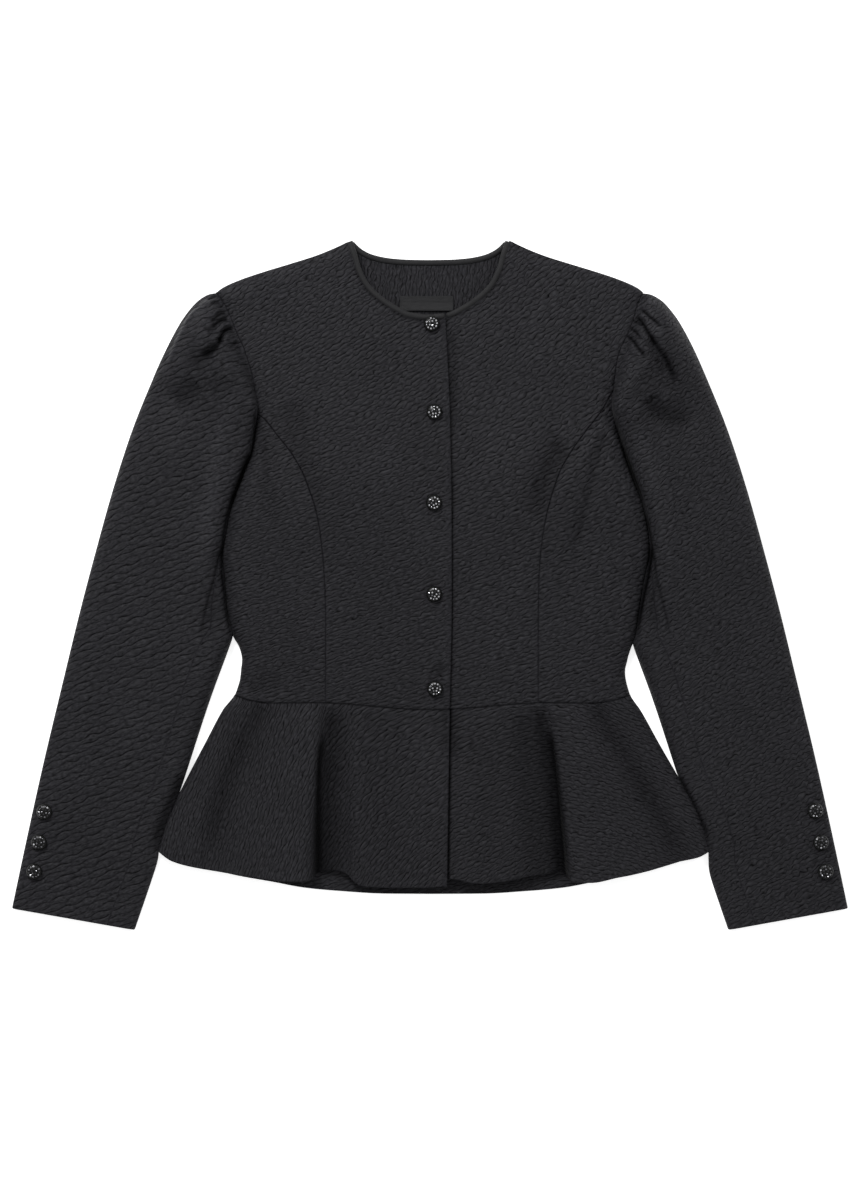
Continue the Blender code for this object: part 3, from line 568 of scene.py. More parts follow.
def centre_front(side):
    """Outer face of a centre front; s from its front and neck edge to the princess seam and armhole."""
    begin = -lap_share(side)

    def front_edge(t):
        top = only(lambda share: neck_line(NECK_FRONT, side, share, BAND_WIDTH - BAND_TUCK), begin)[1]
        low = waist_y(lap_x(side, WAIST["y"][0])) + WAIST_GAP / 2
        y = mix(low, top, t)
        return points(lap_x(side, y), y)

    def neck_edge(t):
        return neck_line(NECK_FRONT, side, mix(begin, 1.0, t), BAND_WIDTH - BAND_TUCK)

    def princess(t):
        y = mix(PRINCESS_WAIST_Y, PRINCESS_TOP_Y[side], t)
        return points(princess_x(side, y), y)

    def armhole(t):
        y = mix(PRINCESS_TOP_Y[side], SHOULDER_POINT_Y, t)
        return points(edge_x(side, y), y)

    start = chain(front_edge, onto_shoulder(neck_edge), FRONT_NECK_TURN)
    end = chain(princess, onto_shoulder(armhole), FRONT_UNDERARM_TURN)
    return lifted(panel_plan(start, end), lambda x, y: front_height(x, y) - lap_drop(side, x, y))


def side_front(side):
    """Outer face of a side front; s from the princess seam to the side seam."""
    top_y = PRINCESS_TOP_Y[side] - SIDE_FRONT_DROP

    def princess(t):
        y = mix(PRINCESS_WAIST_Y, top_y, t)
        return points(princess_x(side, y), y)

    def side_seam(t):
        y = mix(WAIST_SIDE_Y + WAIST_GAP / 2, top_y, t)
        return points(edge_x(side, y), y)

    bottom = across(only(princess, 0.0), only(side_seam, 0.0), lambda x: waist_y(x) + WAIST_GAP / 2)
    top = across(only(princess, 1.0), only(side_seam, 1.0), lambda x: top_y + 0.0 * x)
    return lifted(patch(bottom, top, princess, side_seam), front_height)


# Shares of a back's two edges at which its neck and its armhole start, and of its neck that the binding takes
BACK_NECK_TURN = 0.80
BACK_BAND_TURN = 0.84
BACK_UNDERARM_TURN = 0.68


def back(side):
    """Underside of half the back; s from the centre-back seam and neck to the side seam and armhole."""

    def centre_seam(t):
        top = NECK_BACK["y"][0] - BAND_WIDTH + BAND_TUCK
        y = mix(waist_y(NECK_MIDDLE) + WAIST_GAP / 2, top, t)
        return points(NECK_MIDDLE + 0.0 * y, y)

    def under_band(t):
        line = neck_line(NECK_BACK, side, BACK_BAND_REACH * t, BAND_WIDTH - BAND_TUCK)
        centred = side * (line[..., 0] - NECK_MIDDLE)
        return points(NECK_MIDDLE + side * np.maximum(centred, 0.0), line[..., 1])

    def to_shoulder(t):
        corner_x = NECK_MIDDLE + side * BACK_SHOULDER_OUT
        corner = np.array([corner_x, shoulder_y(corner_x)])
        return mix(only(under_band, 1.0), corner, t[..., None])

    def side_seam(t):
        y = mix(WAIST_SIDE_Y + WAIST_GAP / 2, UNDERARM_Y, t)
        return points(edge_x(side, y), y)

    def armhole(t):
        y = mix(UNDERARM_Y, SHOULDER_POINT_Y, t)
        return points(edge_x(side, y), y)

    neck_edge = chain(under_band, to_shoulder, BACK_BAND_TURN)
    start = chain(centre_seam, neck_edge, BACK_NECK_TURN)
    end = chain(side_seam, onto_shoulder(armhole), BACK_UNDERARM_TURN)
    return lifted(panel_plan(start, end), back_height)


def flared(side, waist_x, hem_x, v):
    """Place of a line from waist seam to hem across the peplum, bowed like the side seam near it."""
    seam_waist = edge_x(side, WAIST_SIDE_Y)
    seam_hem = edge_x(side, HEM_CORNER_Y)
    seam_y = mix(waist_y(seam_waist) - WAIST_GAP / 2, HEM_CORNER_Y, v)
    seam_share = (edge_x(side, seam_y) - seam_waist) / (seam_hem - seam_waist)
    outward = ((waist_x - WAIST_MIDDLE) / (seam_waist - WAIST_MIDDLE)) ** 2
    return mix(waist_x, hem_x, v + outward * (seam_share - v))


def flute_rows(side):
    """The flutes' table with the side seam's own line added at the end that it closes."""
    seam = {
        "waist_x": edge_x(side, WAIST_SIDE_Y),
        "hem_x": edge_x(side, HEM_CORNER_Y),
        "hem_y": HEM_CORNER_Y,
        "height": FLUTE_EDGE_HEIGHT,
    }
    join = (lambda own, edge: np.append(edge, own)) if side == RIGHT else np.append
    rows = {column: join(values, seam[column]) for column, values in FLUTES[side].items()}
    steps = np.sqrt(np.diff(rows["hem_x"]) ** 2 + np.diff(rows["hem_y"]) ** 2 + np.diff(rows["height"]) ** 2)
    rows["share"] = np.concatenate(([0.0], np.cumsum(steps))) / steps.sum()
    return rows


def front_peplum(side):
    """Outer face of a front peplum; s across the flutes, t from the waist seam to the hem."""
    rows = flute_rows(side)

    def surface(s, t):
        waist_x = read(rows, "waist_x", "share", s)
        x = flared(side, waist_x, read(rows, "hem_x", "share", s), t)
        y = mix(waist_y(waist_x) - WAIST_GAP / 2, read(rows, "hem_y", "share", s), t)
        level = mix(crown(waist_x, waist_y(waist_x)), read(rows, "height", "share", s), t)
        rise = level - SEAM_HEIGHT
        height = SEAM_HEIGHT + rise * roll(from_side(x, y), roll_reach(rise))
        return np.stack((x, y, height - lap_drop(side, x, y) * (1 - t)), axis=-1)

    return surface


def back_peplum(s, t):
    """Underside of the back peplum; s from the right side seam to the left, t from the waist to the hem."""
    waist_x = mix(edge_x(RIGHT, WAIST_SIDE_Y), edge_x(LEFT, WAIST_SIDE_Y), s)
    hem_x = mix(edge_x(RIGHT, HEM_CORNER_Y), edge_x(LEFT, HEM_CORNER_Y), s)
    x = np.where(s < 0.5, flared(RIGHT, waist_x, hem_x, t), flared(LEFT, waist_x, hem_x, t))
    hem_middle = read(BODY_EDGE, "middle", "y", HEM_CORNER_Y)
    y = mix(waist_y(waist_x) - WAIST_GAP / 2, read(BACK_HEM, "y", "out", np.abs(hem_x - hem_middle)), t)
    return np.stack((x, y, back_height(x, y)), axis=-1)


def sleeve_inner_x(side, y):
    """Inner edge of the sleeve: its own line, pushed out where the body lies against it."""
    own = read(SLEEVE_INNER, "half", "y", y) + side * SLEEVE_INNER_MIDDLE
    body = side * edge_x(side, y) + CREVICE
    return side * (own + body + np.hypot(own - body, CREVICE_SOFTNESS)) / 2


def sleeve_surface(side):
    """Outer face of a whole sleeve: s from 0 at the outer edge over the top to 1 at the inner edge, and on
    round the underside to 2 at the outer edge again; t from the cuff to the armhole."""
    knots = np.linspace(0.0, 1.0, SLEEVE_ROWS)
    row_share = knots[1]

    def along(column, t):
        return smooth(knots, SLEEVE[column], t)

    def edges(t):
        inner_y = along("inner_y", t)
        outer = points(side * along("outer_x", t), along("outer_y", t))
        return outer, points(sleeve_inner_x(side, inner_y), inner_y)

    def armhole(s):
        y = mix(SHOULDER_POINT_Y, UNDERARM_Y, s)
        return points(edge_x(side, y), y)

    quarter = mix(*edges(knots), GATHER_LINE)
    steps = np.hypot(*np.diff(quarter, axis=0).T)
    below_seam = np.concatenate((np.cumsum(steps[::-1])[::-1], [0.0]))

    def gathers(s, t):
        """Depth of the creases that the gathered head falls into."""
        below = np.interp(t, knots, below_seam)
        depth = 0.0 * s
        armhole_length = np.hypot(*(only(armhole, 1.0) - only(armhole, 0.0)))
        for at, reach, deep, width, lean in zip(*GATHERS[side].values()):
            line = at + lean * below / reach
            fade = ease(below / GATHER_START) * (1 - ease(below / reach))
            depth = depth + GATHER_SHARE * deep * fade * np.exp(-(((s - line) * armhole_length / width) ** 2))
        return depth

    def surface(s, t):
        over = s <= 1
        place = np.where(over, s, 2 - s)
        outer, inner = edges(t)
        width = np.hypot(*np.moveaxis(inner - outer, -1, 0))
        bend = np.clip(1 - (1 - t) / (ARMHOLE_BEND_ROWS * row_share), 0.0, 1.0)[..., None] ** 2
        seam = armhole(place)
        straight = mix(*edges(1.0), place[..., None])
        beside = ARMHOLE_GAP + ARMHOLE_EASE * (place**ARMHOLE_END + (1 - place) ** ARMHOLE_END)
        beside_seam = seam + points(side * beside, 0.0)
        flat = mix(outer, inner, place[..., None]) + bend * (beside_seam - straight)
        x, y = flat[..., 0], flat[..., 1]

        dent = mound(HOLLOW, "depth", x, y)
        rise = along("height", t) - SEAM_HEIGHT
        reach = roll_reach(rise)
        opened = read(BODY_EDGE, "open", "y", y)
        at_body = opened + (1 - opened) * roll((1 - place) * width, np.minimum(reach, INNER_ROLL))
        edge_roll = roll(place * width, reach) * at_body
        top = SEAM_HEIGHT + (rise - dent - gathers(place, t)) * edge_roll
        under_roll = roll(place * width, SEAM_HEIGHT) * roll((1 - place) * width, SEAM_HEIGHT)
        under = SEAM_HEIGHT * (1 - under_roll)

        blend = ease(1 - (1 - t) / (ARMHOLE_BLEND_ROWS * row_share))
        seam_x, seam_y = seam[..., 0], seam[..., 1]
        top = mix(top, front_height(seam_x, seam_y), blend)
        under = mix(under, back_height(seam_x, seam_y), blend)
        return np.stack((x, y, np.where(over, top, under)), axis=-1)

    def seam_place(t):
        """Where the under-sleeve seam lies across the top, as a share of the width."""
        outer, inner = edges(t)
        width = np.hypot(*np.moveaxis(inner - outer, -1, 0))
        return 1 - along("seam", t) / width

    return surface, seam_place


def facing(surface, s, t, s_range=(0.0, 1.0), t_range=(0.0, 1.0)):
    """Unit normals of a surface from two short steps along it."""
    nudge = 1e-6
    along_s = surface(np.clip(s + nudge, *s_range), t) - surface(np.clip(s - nudge, *s_range), t)
    along_t = surface(s, np.clip(t + nudge, *t_range)) - surface(s, np.clip(t - nudge, *t_range))
    normal = np.cross(along_s, along_t)
    return normal / np.maximum(np.linalg.norm(normal, axis=-1, keepdims=True), 1e-15)


# Crinkled cloth: lines of blisters, by the distance between lines, a blister's length in such distances, and
# how far the lines wander; the length, width and height of the tufts that break the lines up
BODY_CRINKLE = {"pitch": 3.6, "blister": 3.0, "wander": 1.15, "tuft": (4.8, 1.9, 0.45)}
PEPLUM_CRINKLE = {"pitch": 3.7, "blister": 3.3, "wander": 1.0, "tuft": (6.0, 2.0, 0.4)}
SLEEVE_CRINKLE = {
    RIGHT: {"pitch": 5.4, "blister": 3.6, "wander": 0.55, "tuft": (4.5, 2.0, 0.34)},
    LEFT: {"pitch": 3.9, "blister": 2.2, "wander": 1.3, "tuft": (4.0, 2.0, 0.42)},
}
BAND_CRINKLE = {"pitch": 3.4, "blister": 3.0, "wander": 1.0, "tuft": (5.0, 2.5, 0.7)}
SWAY = 0.17
CRISP = 0.7
DEPTH = 0.55
DEPTH_LEAST, DEPTH_MORE, DEPTH_CONTRAST = 0.5, 0.8, 1.2
DEPTH_PATCH = (0.6, 0.9)
FINE_TUFTS = 0.5
WANDER = table("size along across", (0.55, 2.1, 3.1), (0.34, 0.7, 1.2))
GRAIN = table("y degrees", (-110.0, 17.0), (60.0, 23.0), (200.0, 30.0), (320.0, 34.0))
SLEEVE_GRAIN = {RIGHT: 21.0, LEFT: 30.0}
PEPLUM_GRAIN = {RIGHT: 33.0, LEFT: 38.0}
SLEEVE_LEAN = 15.0
INSIDE_GRAIN = 82.0
PEPLUM_SECTOR = {RIGHT: 1.1, LEFT: 1.35}

# Seeds of the uneven fields: one for each kind of piece, and what each field adds to it
WOVEN = "front side_front back peplum back_peplum upper_sleeve under_sleeve band label".split()
SEEDS = {piece: 100 * number for number, piece in enumerate(WOVEN, start=1)}
WANDER_SEED, ACROSS_SEED, DEPTH_SEED, TUFT_SEED, FINE_SEED = 10, 5, 3, 31, 37

# Mesh: distances between lines across and up a panel on what shows, on the sleeves and their puffs, and on
# what is hidden; where they change; lines added close to an edge; and one line of how many the inside has
ACROSS, UPWARD = 1.4, 1.1
SLEEVE_UPWARD, PUFF_UPWARD, PUFF_START = 1.35, 0.95, 0.64
UNDERSIDE_ACROSS, UNDER_UPWARD = 4.0, 1.6
HIDDEN = 5.0
BACK_ACROSS, BACK_MIDDLE = 1.6, 0.35
BACK_UPWARD, BACK_SHOULDER_START = (HIDDEN, 3.0, 1.5, 2.4), 0.968
BACK_PEPLUM_ACROSS, BACK_HEM_UPWARD, BACK_HEM_START = 3.0, 2.0, 0.85
LINE_SAMPLES = 1500
EDGE_LINES = np.array([0.35, 0.8])
INNER_STRIDE = 3

# Edges: how far the cloth turns down at a seam or a free edge, within what distance, and how much shade is
# painted along it there
SEAM_TURN = (0.95, 1.5, 0.75)
PRINCESS_TURN = (0.95, 1.5, 0.75, "fades")
# Share of the painted seam shade kept at each height up the princess seams
PAINTED_SEAM_FADE = table("y share", (-110.0, 0.12), (0.0, 0.4), (140.0, 1.0))
BACK_NECK_EDGE = (0.4, 1.2, 0.12)
WAIST_TURN = (0.95, 2.5, 1.0)
SHOULDER_TURN = (0.6, 1.2, 0.1)
SLEEVE_SEAM_TURN = (0.4, 1.4, 0.06)
FREE_TURN = (0.8, 1.2, 0.0)
OUTLINE_TURN = (0.3, 1.2, 0.0)
PLAIN_EDGE = (0.0, 1.0, 0.0)
FLAT_EDGE = 1.6
UPRIGHT = (0.12, 0.6)
PRESSED_STRIP = 7.0
PRESSED_DEPTH = 0.5
BAND_DEPTH = 0.12

# Neck binding: its cloth, how far it goes round and closes at its ends, and its lines. Label: its cloth,
# lines, edges and curl
BAND_CLOTH = 0.7
BAND_TURN_DEGREES = (20.0, 335.0)
BAND_END, BAND_CLOSING = 2.2, 0.9
BAND_SPACING, BAND_LINES, BAND_AROUND = 0.9, 25, 12
LABEL_CLOTH = 0.5
LABEL_LINES = (70, 24)
LABEL_TURN = (0.2, 0.8, 0.0)
LABEL_LIFT, LABEL_CURL, LABEL_LOW_END = 1.6, 0.6, 0.35
LABEL_TILT = (1.6, 0.3)
LABEL_WAVE = (0.25, 5.3, 0.6)

# Creases laid into the cloth: depth, width where one starts and where it ends, how much shade is painted
# along its bottom, and the points that it runs through. A ridge has less than no depth, and where the painted
# shade is less than none a highlight is painted instead. Those on the undersides are guessed. The painted
# shade stands for the shadows in the folds and hollows, in the crevices beside the sleeves, under the lap
# edge and the neck binding, and on a sleeve where a peplum lies over it.
CREASES = {
    "right_upper_sleeve": (
        (1.2, 1.4, 2, 0.85, (-189.3, 254.2), (-193, 253.1), (-196.5, 250.7), (-200, 247.8), (-205, 244.5)),
        (1.4, 1.5, 2.2, 0.9, (-186.9, 248.2), (-191.2, 247.3), (-194.5, 245.6), (-198.6, 242.3),
         (-203.6, 239.5)),
        (0.8, 3, 4.5, 0.25, (-197.5, 240.3), (-201, 237.6), (-208, 235)),
        (2.2, 1.5, 2.2, 0.95, (-181.5, 239.7), (-186, 239), (-189.4, 236.8), (-191.8, 233.3),
         (-196.1, 224.5)),
        (2.4, 2.2, 4, 0.8, (-192.6, 231.5), (-194.1, 227.5), (-197.1, 223.4), (-203, 218), (-214, 210.5)),
        (1.2, 5, 8, 0.35, (-196.2, 224.7), (-202.7, 217.2), (-211.1, 211.5), (-226, 203.5)),
        (-0.8, 1.6, 2.4, -0.25, (-185, 243.6), (-190.5, 242.4), (-195, 238.5), (-199, 232)),
        (0.8, 1.3, 1.5, 0.6, (-177.1, 228.7), (-180.4, 225.5), (-184.1, 221.6), (-187.4, 219)),
        (0.8, 1.3, 1.6, 0.6, (-198.1, 270.2), (-202.7, 268), (-206.9, 265.5)),
        (0.5, 1.3, 1.5, 0.45, (-194.4, 263.1), (-200, 263.1), (-204.6, 261.8)),
        (-1.3, 1.6, 2.2, -0.5, (-194.4, 267.8), (-203.7, 264.6), (-213, 258.5), (-222.7, 249.2),
         (-229.2, 237.6)),
        (-1, 2, 2.4, -0.4, (-227, 242), (-233, 229.2), (-239.5, 215.3), (-243, 205)),
        (0.3, 3.5, 4, 0.3, (-210, 267), (-222, 258), (-232.6, 243.2), (-242.8, 219.9), (-248.3, 199.5)),
    ),
    "left_upper_sleeve": (
        (1.2, 1.4, 1.8, 0.85, (195.3, 257.4), (200.2, 252.5), (205.3, 248.1), (210.8, 243.8), (215.8, 239)),
        (2.2, 1.5, 2.6, 0.9, (190.3, 251.4), (195.3, 245.7), (200.2, 237.6), (205.3, 229.5),
         (211.4, 220.9)),
        (2.2, 2.4, 3.4, 0.75, (203, 233.2), (211.4, 220.9), (216.4, 214.6), (220.7, 207.9), (229.5, 182.5)),
        (1.2, 5, 8, 0.35, (200, 230), (207, 217.2), (212.7, 207.9), (219.3, 191.9)),
        (0.8, 1.4, 1.6, 0.7, (187.4, 247.4), (191.6, 245.5), (195.8, 241.3)),
        (0.9, 1.4, 1.6, 0.75, (185.5, 240.4), (190.4, 235.8), (193.4, 232), (197.2, 228.3)),
        (1.3, 1.4, 2.4, 0.85, (182.3, 233.4), (187.2, 228.3), (191.6, 222.1), (196.5, 215.9),
         (201.8, 209.7)),
        (0.5, 1, 1.2, 0.5, (195.8, 268), (199, 268), (202.7, 267.4)),
        (-0.7, 1.8, 2.4, -0.25, (196.2, 254.4), (202.7, 246), (211.1, 237.6), (218.6, 233)),
    ),
    "right_front": (
        (1.1, 15, 12, 0.2, (-131, 175), (-123.7, 145.5), (-118.1, 122.3), (-112.5, 103.7), (-105, 84),
         (-102, 60)),
        (0.8, 7, 7, 0.25, (1.9, -75.8), (7.4, -79.5), (14.9, -83.2)),
        (0.3, 1.3, 1.3, 0.5, (20, 250), (-1, 246.9), (-20, 248.9), (-33.4, 255), (-48.4, 265.2)),
        (0.3, 1.3, 1.3, 0.5, (-40, 259.5), (-48.4, 265.2), (-61.4, 278.3), (-69.4, 294), (-73.5, 309)),
    ),
    "left_front": (
        (0.6, 4, 4, 0.3, (21.4, 240.4), (22.3, 218.1), (22.3, 187.4), (21.4, 136.2)),
        (0.3, 1.2, 1.2, 0.55, (10, 320), (15.5, 250), (19.6, 160), (21, 80), (19.4, -114), (16, -280)),
        (0.3, 3, 3, 0.12, (21.4, 108.3), (20.5, 43.2), (19.5, -49.8), (18.6, -105.6)),
        (1.3, 13, 11, 0.36, (126, 135), (117.5, 126), (112, 115), (106, 103.7), (102, 89.7),
         (100, 55)),
        (0.3, 1.3, 1.3, 0.5, (12, 247), (31.6, 255), (46.6, 265.2), (59.6, 278.3), (67.6, 294), (73, 312)),
    ),
    "right_side_front": (
        (1.4, 7, 8, 0.14, (-158.1, 145.5), (-151.6, 99), (-145.1, 61.8), (-135.8, 33.9)),
        (1.2, 9, 9, 0.16, (-171.1, -98.1), (-154.4, -90.7), (-135.8, -96.3)),
    ),
    "left_side_front": (
        (1.6, 5, 7, 0.22, (162.8, 143.7), (151.6, 103.7), (140.4, 57.2), (131.1, 10.7)),
        (-0.8, 4, 5, -0.08, (156.2, 140), (133, 108.3), (118.1, 69.3)),
    ),
    "right_crevice": (
        (0.4, 1.3, 1.4, 0.7, (-160.8, 162), (-162.9, 142), (-165.7, 122), (-170.6, 112.1), (-182.6, 80.4)),
        (0.4, 1.4, 1.4, 0.7, (-180, 90), (-187.9, 64.6), (-191.6, 43.2), (-193, 24.6), (-190.4, -10)),
        (0.4, 1.4, 1.4, 0.7, (-193, 15), (-191.6, 1.4), (-188.8, -23.7), (-184.6, -49.8)),
        (0.6, 2.2, 2.2, 0.8, (-166.5, 125.1), (-172.1, 109.3), (-179.5, 89.7), (-186.9, 68.4)),
    ),
    "left_crevice": (
        (0.4, 1.3, 1.4, 0.7, (170.5, 158), (176.7, 134.4), (186, 108.3), (195.3, 85.1), (200.9, 63.7)),
        (0.4, 1.4, 1.4, 0.7, (199, 72), (205.1, 38.6), (202.3, 13.5), (197.2, -12.6), (189.7, -59.1)),
        (0.5, 1.8, 1.8, 0.7, (178.6, 130.7), (187.9, 103.7), (196.2, 80.4)),
        (0.5, 1.8, 1.8, 0.7, (205.5, 38.6), (201.8, 10.7), (196.2, -17.2), (191.6, -49.8)),
    ),
    "right_sleeve": (
        (1.5, 11, 12, 0.3, (-214, 188), (-226.8, 178.2), (-240.2, 166.9)),
        (1, 8, 9, 0.15, (-173.9, 190.2), (-191.6, 184.6), (-211.1, 179)),
        (-1.2, 8, 11, -0.22, (-174.8, 180.9), (-194.4, 131.6), (-204.6, 71.1), (-213.9, -3.3)),
        (0.6, 1.3, 1.4, 0.55, (-193, 35.8), (-199, 10.7), (-204.6, -7.9), (-209.2, -26.5), (-213.9, -54.4)),
        (0.8, 6, 9, 0.22, (-195.3, 38.6), (-200.9, 6), (-202.7, -23.7), (-209.2, -63.7)),
        (0.8, 4, 5, 0.55, (-228.8, -172.5), (-239.9, -198.6), (-249.2, -220.9), (-258.5, -250.6)),
    ),
    "left_sleeve": (
        (2, 8, 10, 0.42, (202, 176), (212, 162), (225.1, 156.7), (246.7, 150.3)),
        (-1, 5, 6, -0.15, (213.9, 171.6), (220.4, 176.2), (226.9, 181.8)),
        (-1.2, 8, 11, -0.16, (180.4, 180.9), (200, 126.9), (213.9, 75.8), (228.8, 6)),
        (0.6, 1.3, 1.3, 0.45, (205.5, 33.9), (209.2, 15.3), (213, -3.3), (217.6, -21.9), (225.1, -54.4)),
        (0.8, 5, 8, 0.32, (204.6, 43.2), (206.5, 13.5), (205.5, -17.2), (209.2, -49.8)),
        (0.8, 2.6, 3, 0.6, (229.7, -174.4), (239.9, -193.9), (251.1, -217.2), (263.2, -243.2)),
    ),
    "right_peplum": (
        (1, 3, 5, 0.75, (-98, -135), (-101.8, -165), (-102.8, -217), (-104.2, -330)),
        (0.8, 9, 9, 0.5, (-89, -106), (-94, -142), (-95.8, -189), (-97.7, -245), (-99.5, -330)),
        (0.6, 8, 9, 0.25, (-82.5, -112.7), (-85.4, -170.7), (-87.3, -226.5), (-90.1, -330)),
        (2, 11, 14, 0.3, (-150.7, -105.6), (-166.5, -131.6), (-181.4, -166), (-193.4, -201.3),
         (-206.5, -263.7)),
        (0.4, 6, 6, 0.22, (12.1, -113), (13, -133.5), (14, -161.4)),
        (0.5, 26, 26, 0.12, (-45, -108), (-45, -220), (-45, -314)),
    ),
    "left_peplum": (
        (1, 3.5, 5, 0.75, (110, -128), (112.7, -150), (117.3, -184.6), (121, -226.5), (129.4, -335)),
        (0.8, 10, 10, 0.55, (101, -104), (106, -147.4), (110.5, -180), (115.2, -224.9), (123.9, -335)),
        (0.6, 15, 16, 0.28, (83.7, -108.7), (89.3, -180), (96.7, -245.1), (103.2, -335)),
        (2.2, 11, 13, 0.34, (148.3, -104.3), (168.8, -138.1), (194, -180), (213.5, -214.2),
         (247.8, -282.3)),
        (0.4, 6, 6, 0.3, (21.4, -113), (21.4, -133.5), (21.4, -166)),
        (0.3, 1.6, 1.6, 0.8, (21, -60), (19.4, -114), (17, -280), (16, -360)),
        (0.5, 22, 22, 0.1, (52, -108), (52, -220), (52, -314)),
    ),
    "right_underside": (
        (1.6, 8, 11, 0.32, (-152, 148), (-128, 96), (-118, 30), (-112, -46)),
        (1.2, 9, 8, 0.24, (-60, 196), (-66, 120), (-57, 52)),
        (1.4, 8, 11, 0.28, (-98, -58), (-60, -82), (-16, -90)),
        (1.8, 9, 13, 0.34, (-118, -112), (-134, -165), (-152, -225), (-158, -258)),
        (1.3, 10, 12, 0.26, (-46, -116), (-52, -180), (-61, -244)),
        (1.6, 8, 10, 0.32, (-214, 122), (-238, 92), (-266, 74)),
        (1.2, 6, 7, 0.28, (-232, 12), (-262, -6), (-296, -3)),
        (1.4, 7, 9, 0.28, (-270, -118), (-300, -142), (-334, -151)),
    ),
    "left_underside": (
        (1.4, 8, 11, 0.3, (156, 138), (136, 84), (127, 12)),
        (1.6, 7, 9, 0.28, (84, 186), (70, 134), (73, 70), (64, 20)),
        (1.2, 9, 9, 0.24, (112, -72), (76, -88), (30, -84)),
        (1.7, 9, 12, 0.32, (92, -114), (101, -172), (118, -248)),
        (1.2, 10, 13, 0.26, (152, -116), (176, -176), (196, -240)),
        (1.7, 7, 9, 0.32, (212, 134), (234, 112), (258, 104), (272, 88)),
        (1.4, 7, 8, 0.28, (222, 34), (250, 8), (288, 4)),
        (1, 6, 8, 0.24, (282, -160), (312, -172), (346, -170)),
    ),
}

# Shape of a crease: its steps, where it is full, how far off it is looked for, the lip beside it, and the
# parts that make up the narrow band along its bottom where the shade is painted
CREASE_STEPS, CREASE_FINENESS = (30, 400), 2
CREASE_START, CREASE_HOLD = 0.08, 0.7
CREASE_REACH = 4
CREASE_LIP = (0.25, 1.9)
PAINTED_CREASE_CORE = ((0.85, 0.85), (0.15, 1.9))

# Large numbers that scatter the uneven values: for a column, a row, a seed, and once more for all
SCATTER = (374761393, 668265263, 974634777, 1274126177)


def hashed(column, row, seed):
    """Repeatable uneven values from -0.5 to 0.5 for whole-numbered places."""
    mixed = column.astype(np.int64) * SCATTER[0] + row.astype(np.int64) * SCATTER[1] + seed * SCATTER[2]
    mixed = mixed & 0xFFFFFFFF
    mixed = ((mixed ^ (mixed >> 13)) * SCATTER[3]) & 0xFFFFFFFF
    return ((mixed ^ (mixed >> 16)) & 0xFFFF) / 0xFFFF - 0.5


def noise(x, y, seed):
    """Smooth uneven field, mostly from -0.5 to 0.5, that changes about once in each unit."""
    column, row = np.floor(x), np.floor(y)
    right, up = x - column, y - row

    def slope(over, above):
        turn = 2 * math.pi * hashed(column + over, row + above, seed)
        return np.cos(turn) * (right - over) + np.sin(turn) * (up - above)

    low = mix(slope(0, 0), slope(1, 0), ease(right))
    high = mix(slope(0, 1), slope(1, 1), ease(right))
    return mix(low, high, ease(up))


def weave(along, over, degrees, seed, pitch, blister, wander, tuft):
    """Places on the cloth counted in blisters along its crinkle lines and in lines across, made uneven; how
    deep the crinkle is there; how far a tuft stands up; and the size of one blister."""
    turn = np.radians(degrees)
    length = along * np.cos(turn) + over * np.sin(turn)
    width = over * np.cos(turn) - along * np.sin(turn)
    p, q = length / (blister * pitch), width / pitch
    moved_p, moved_q = p, q
    for step, (size, reach_p, reach_q) in enumerate(zip(*WANDER.values())):
        number = seed + WANDER_SEED * step
        moved_p = moved_p + wander * size * noise(p / reach_p, q / reach_q, number)
        moved_q = moved_q + wander * size * noise(p / reach_p, q / reach_q, number + ACROSS_SEED)
    uneven = noise(p / DEPTH_PATCH[0], q / DEPTH_PATCH[1], seed + DEPTH_SEED)
    depth = DEPTH_LEAST + DEPTH_MORE * ease(0.5 + DEPTH_CONTRAST * uneven)
    raised = noise(length / tuft[0], width / tuft[1], seed + TUFT_SEED)
    finer = noise(2 * length / tuft[0], 2 * width / tuft[1], seed + FINE_SEED)
    raised = raised + FINE_TUFTS * finer
    return np.stack((moved_p, moved_q, depth, tuft[2] * raised)), (blister * pitch, pitch)


def pillow(p, q):
    """Height of the blisters, from 0 in the crease lines to 1 on their tops."""
    phase = q + SWAY * np.sin(2 * math.pi * p) * np.cos(math.pi * q)
    swell = 0.5 - 0.5 * np.cos(2 * math.pi * phase)
    return mix(swell, np.abs(np.sin(math.pi * phase)), CRISP)


def creases_of(name):
    """Creases that run through a piece: its own, its sleeve's, and those of the crevice beside it."""
    side, piece = name.split("_", 1)
    shared = {
        "upper_sleeve": ("sleeve", "crevice"),
        "under_sleeve": ("sleeve", "crevice"),
        "side_front": ("crevice",),
    }
    rows = CREASES.get(name, ())
    for each in shared.get(piece, ()):
        rows = rows + CREASES[f"{side}_{each}"]
    return rows


def creases_under(name):
    """Creases of the side that a piece lies on."""
    if name == "back_peplum":
        return CREASES["right_underside"] + CREASES["left_underside"]
    side, piece = name.split("_", 1)
    return CREASES[f"{side}_underside"] if piece in ("back", "under_sleeve") else ()


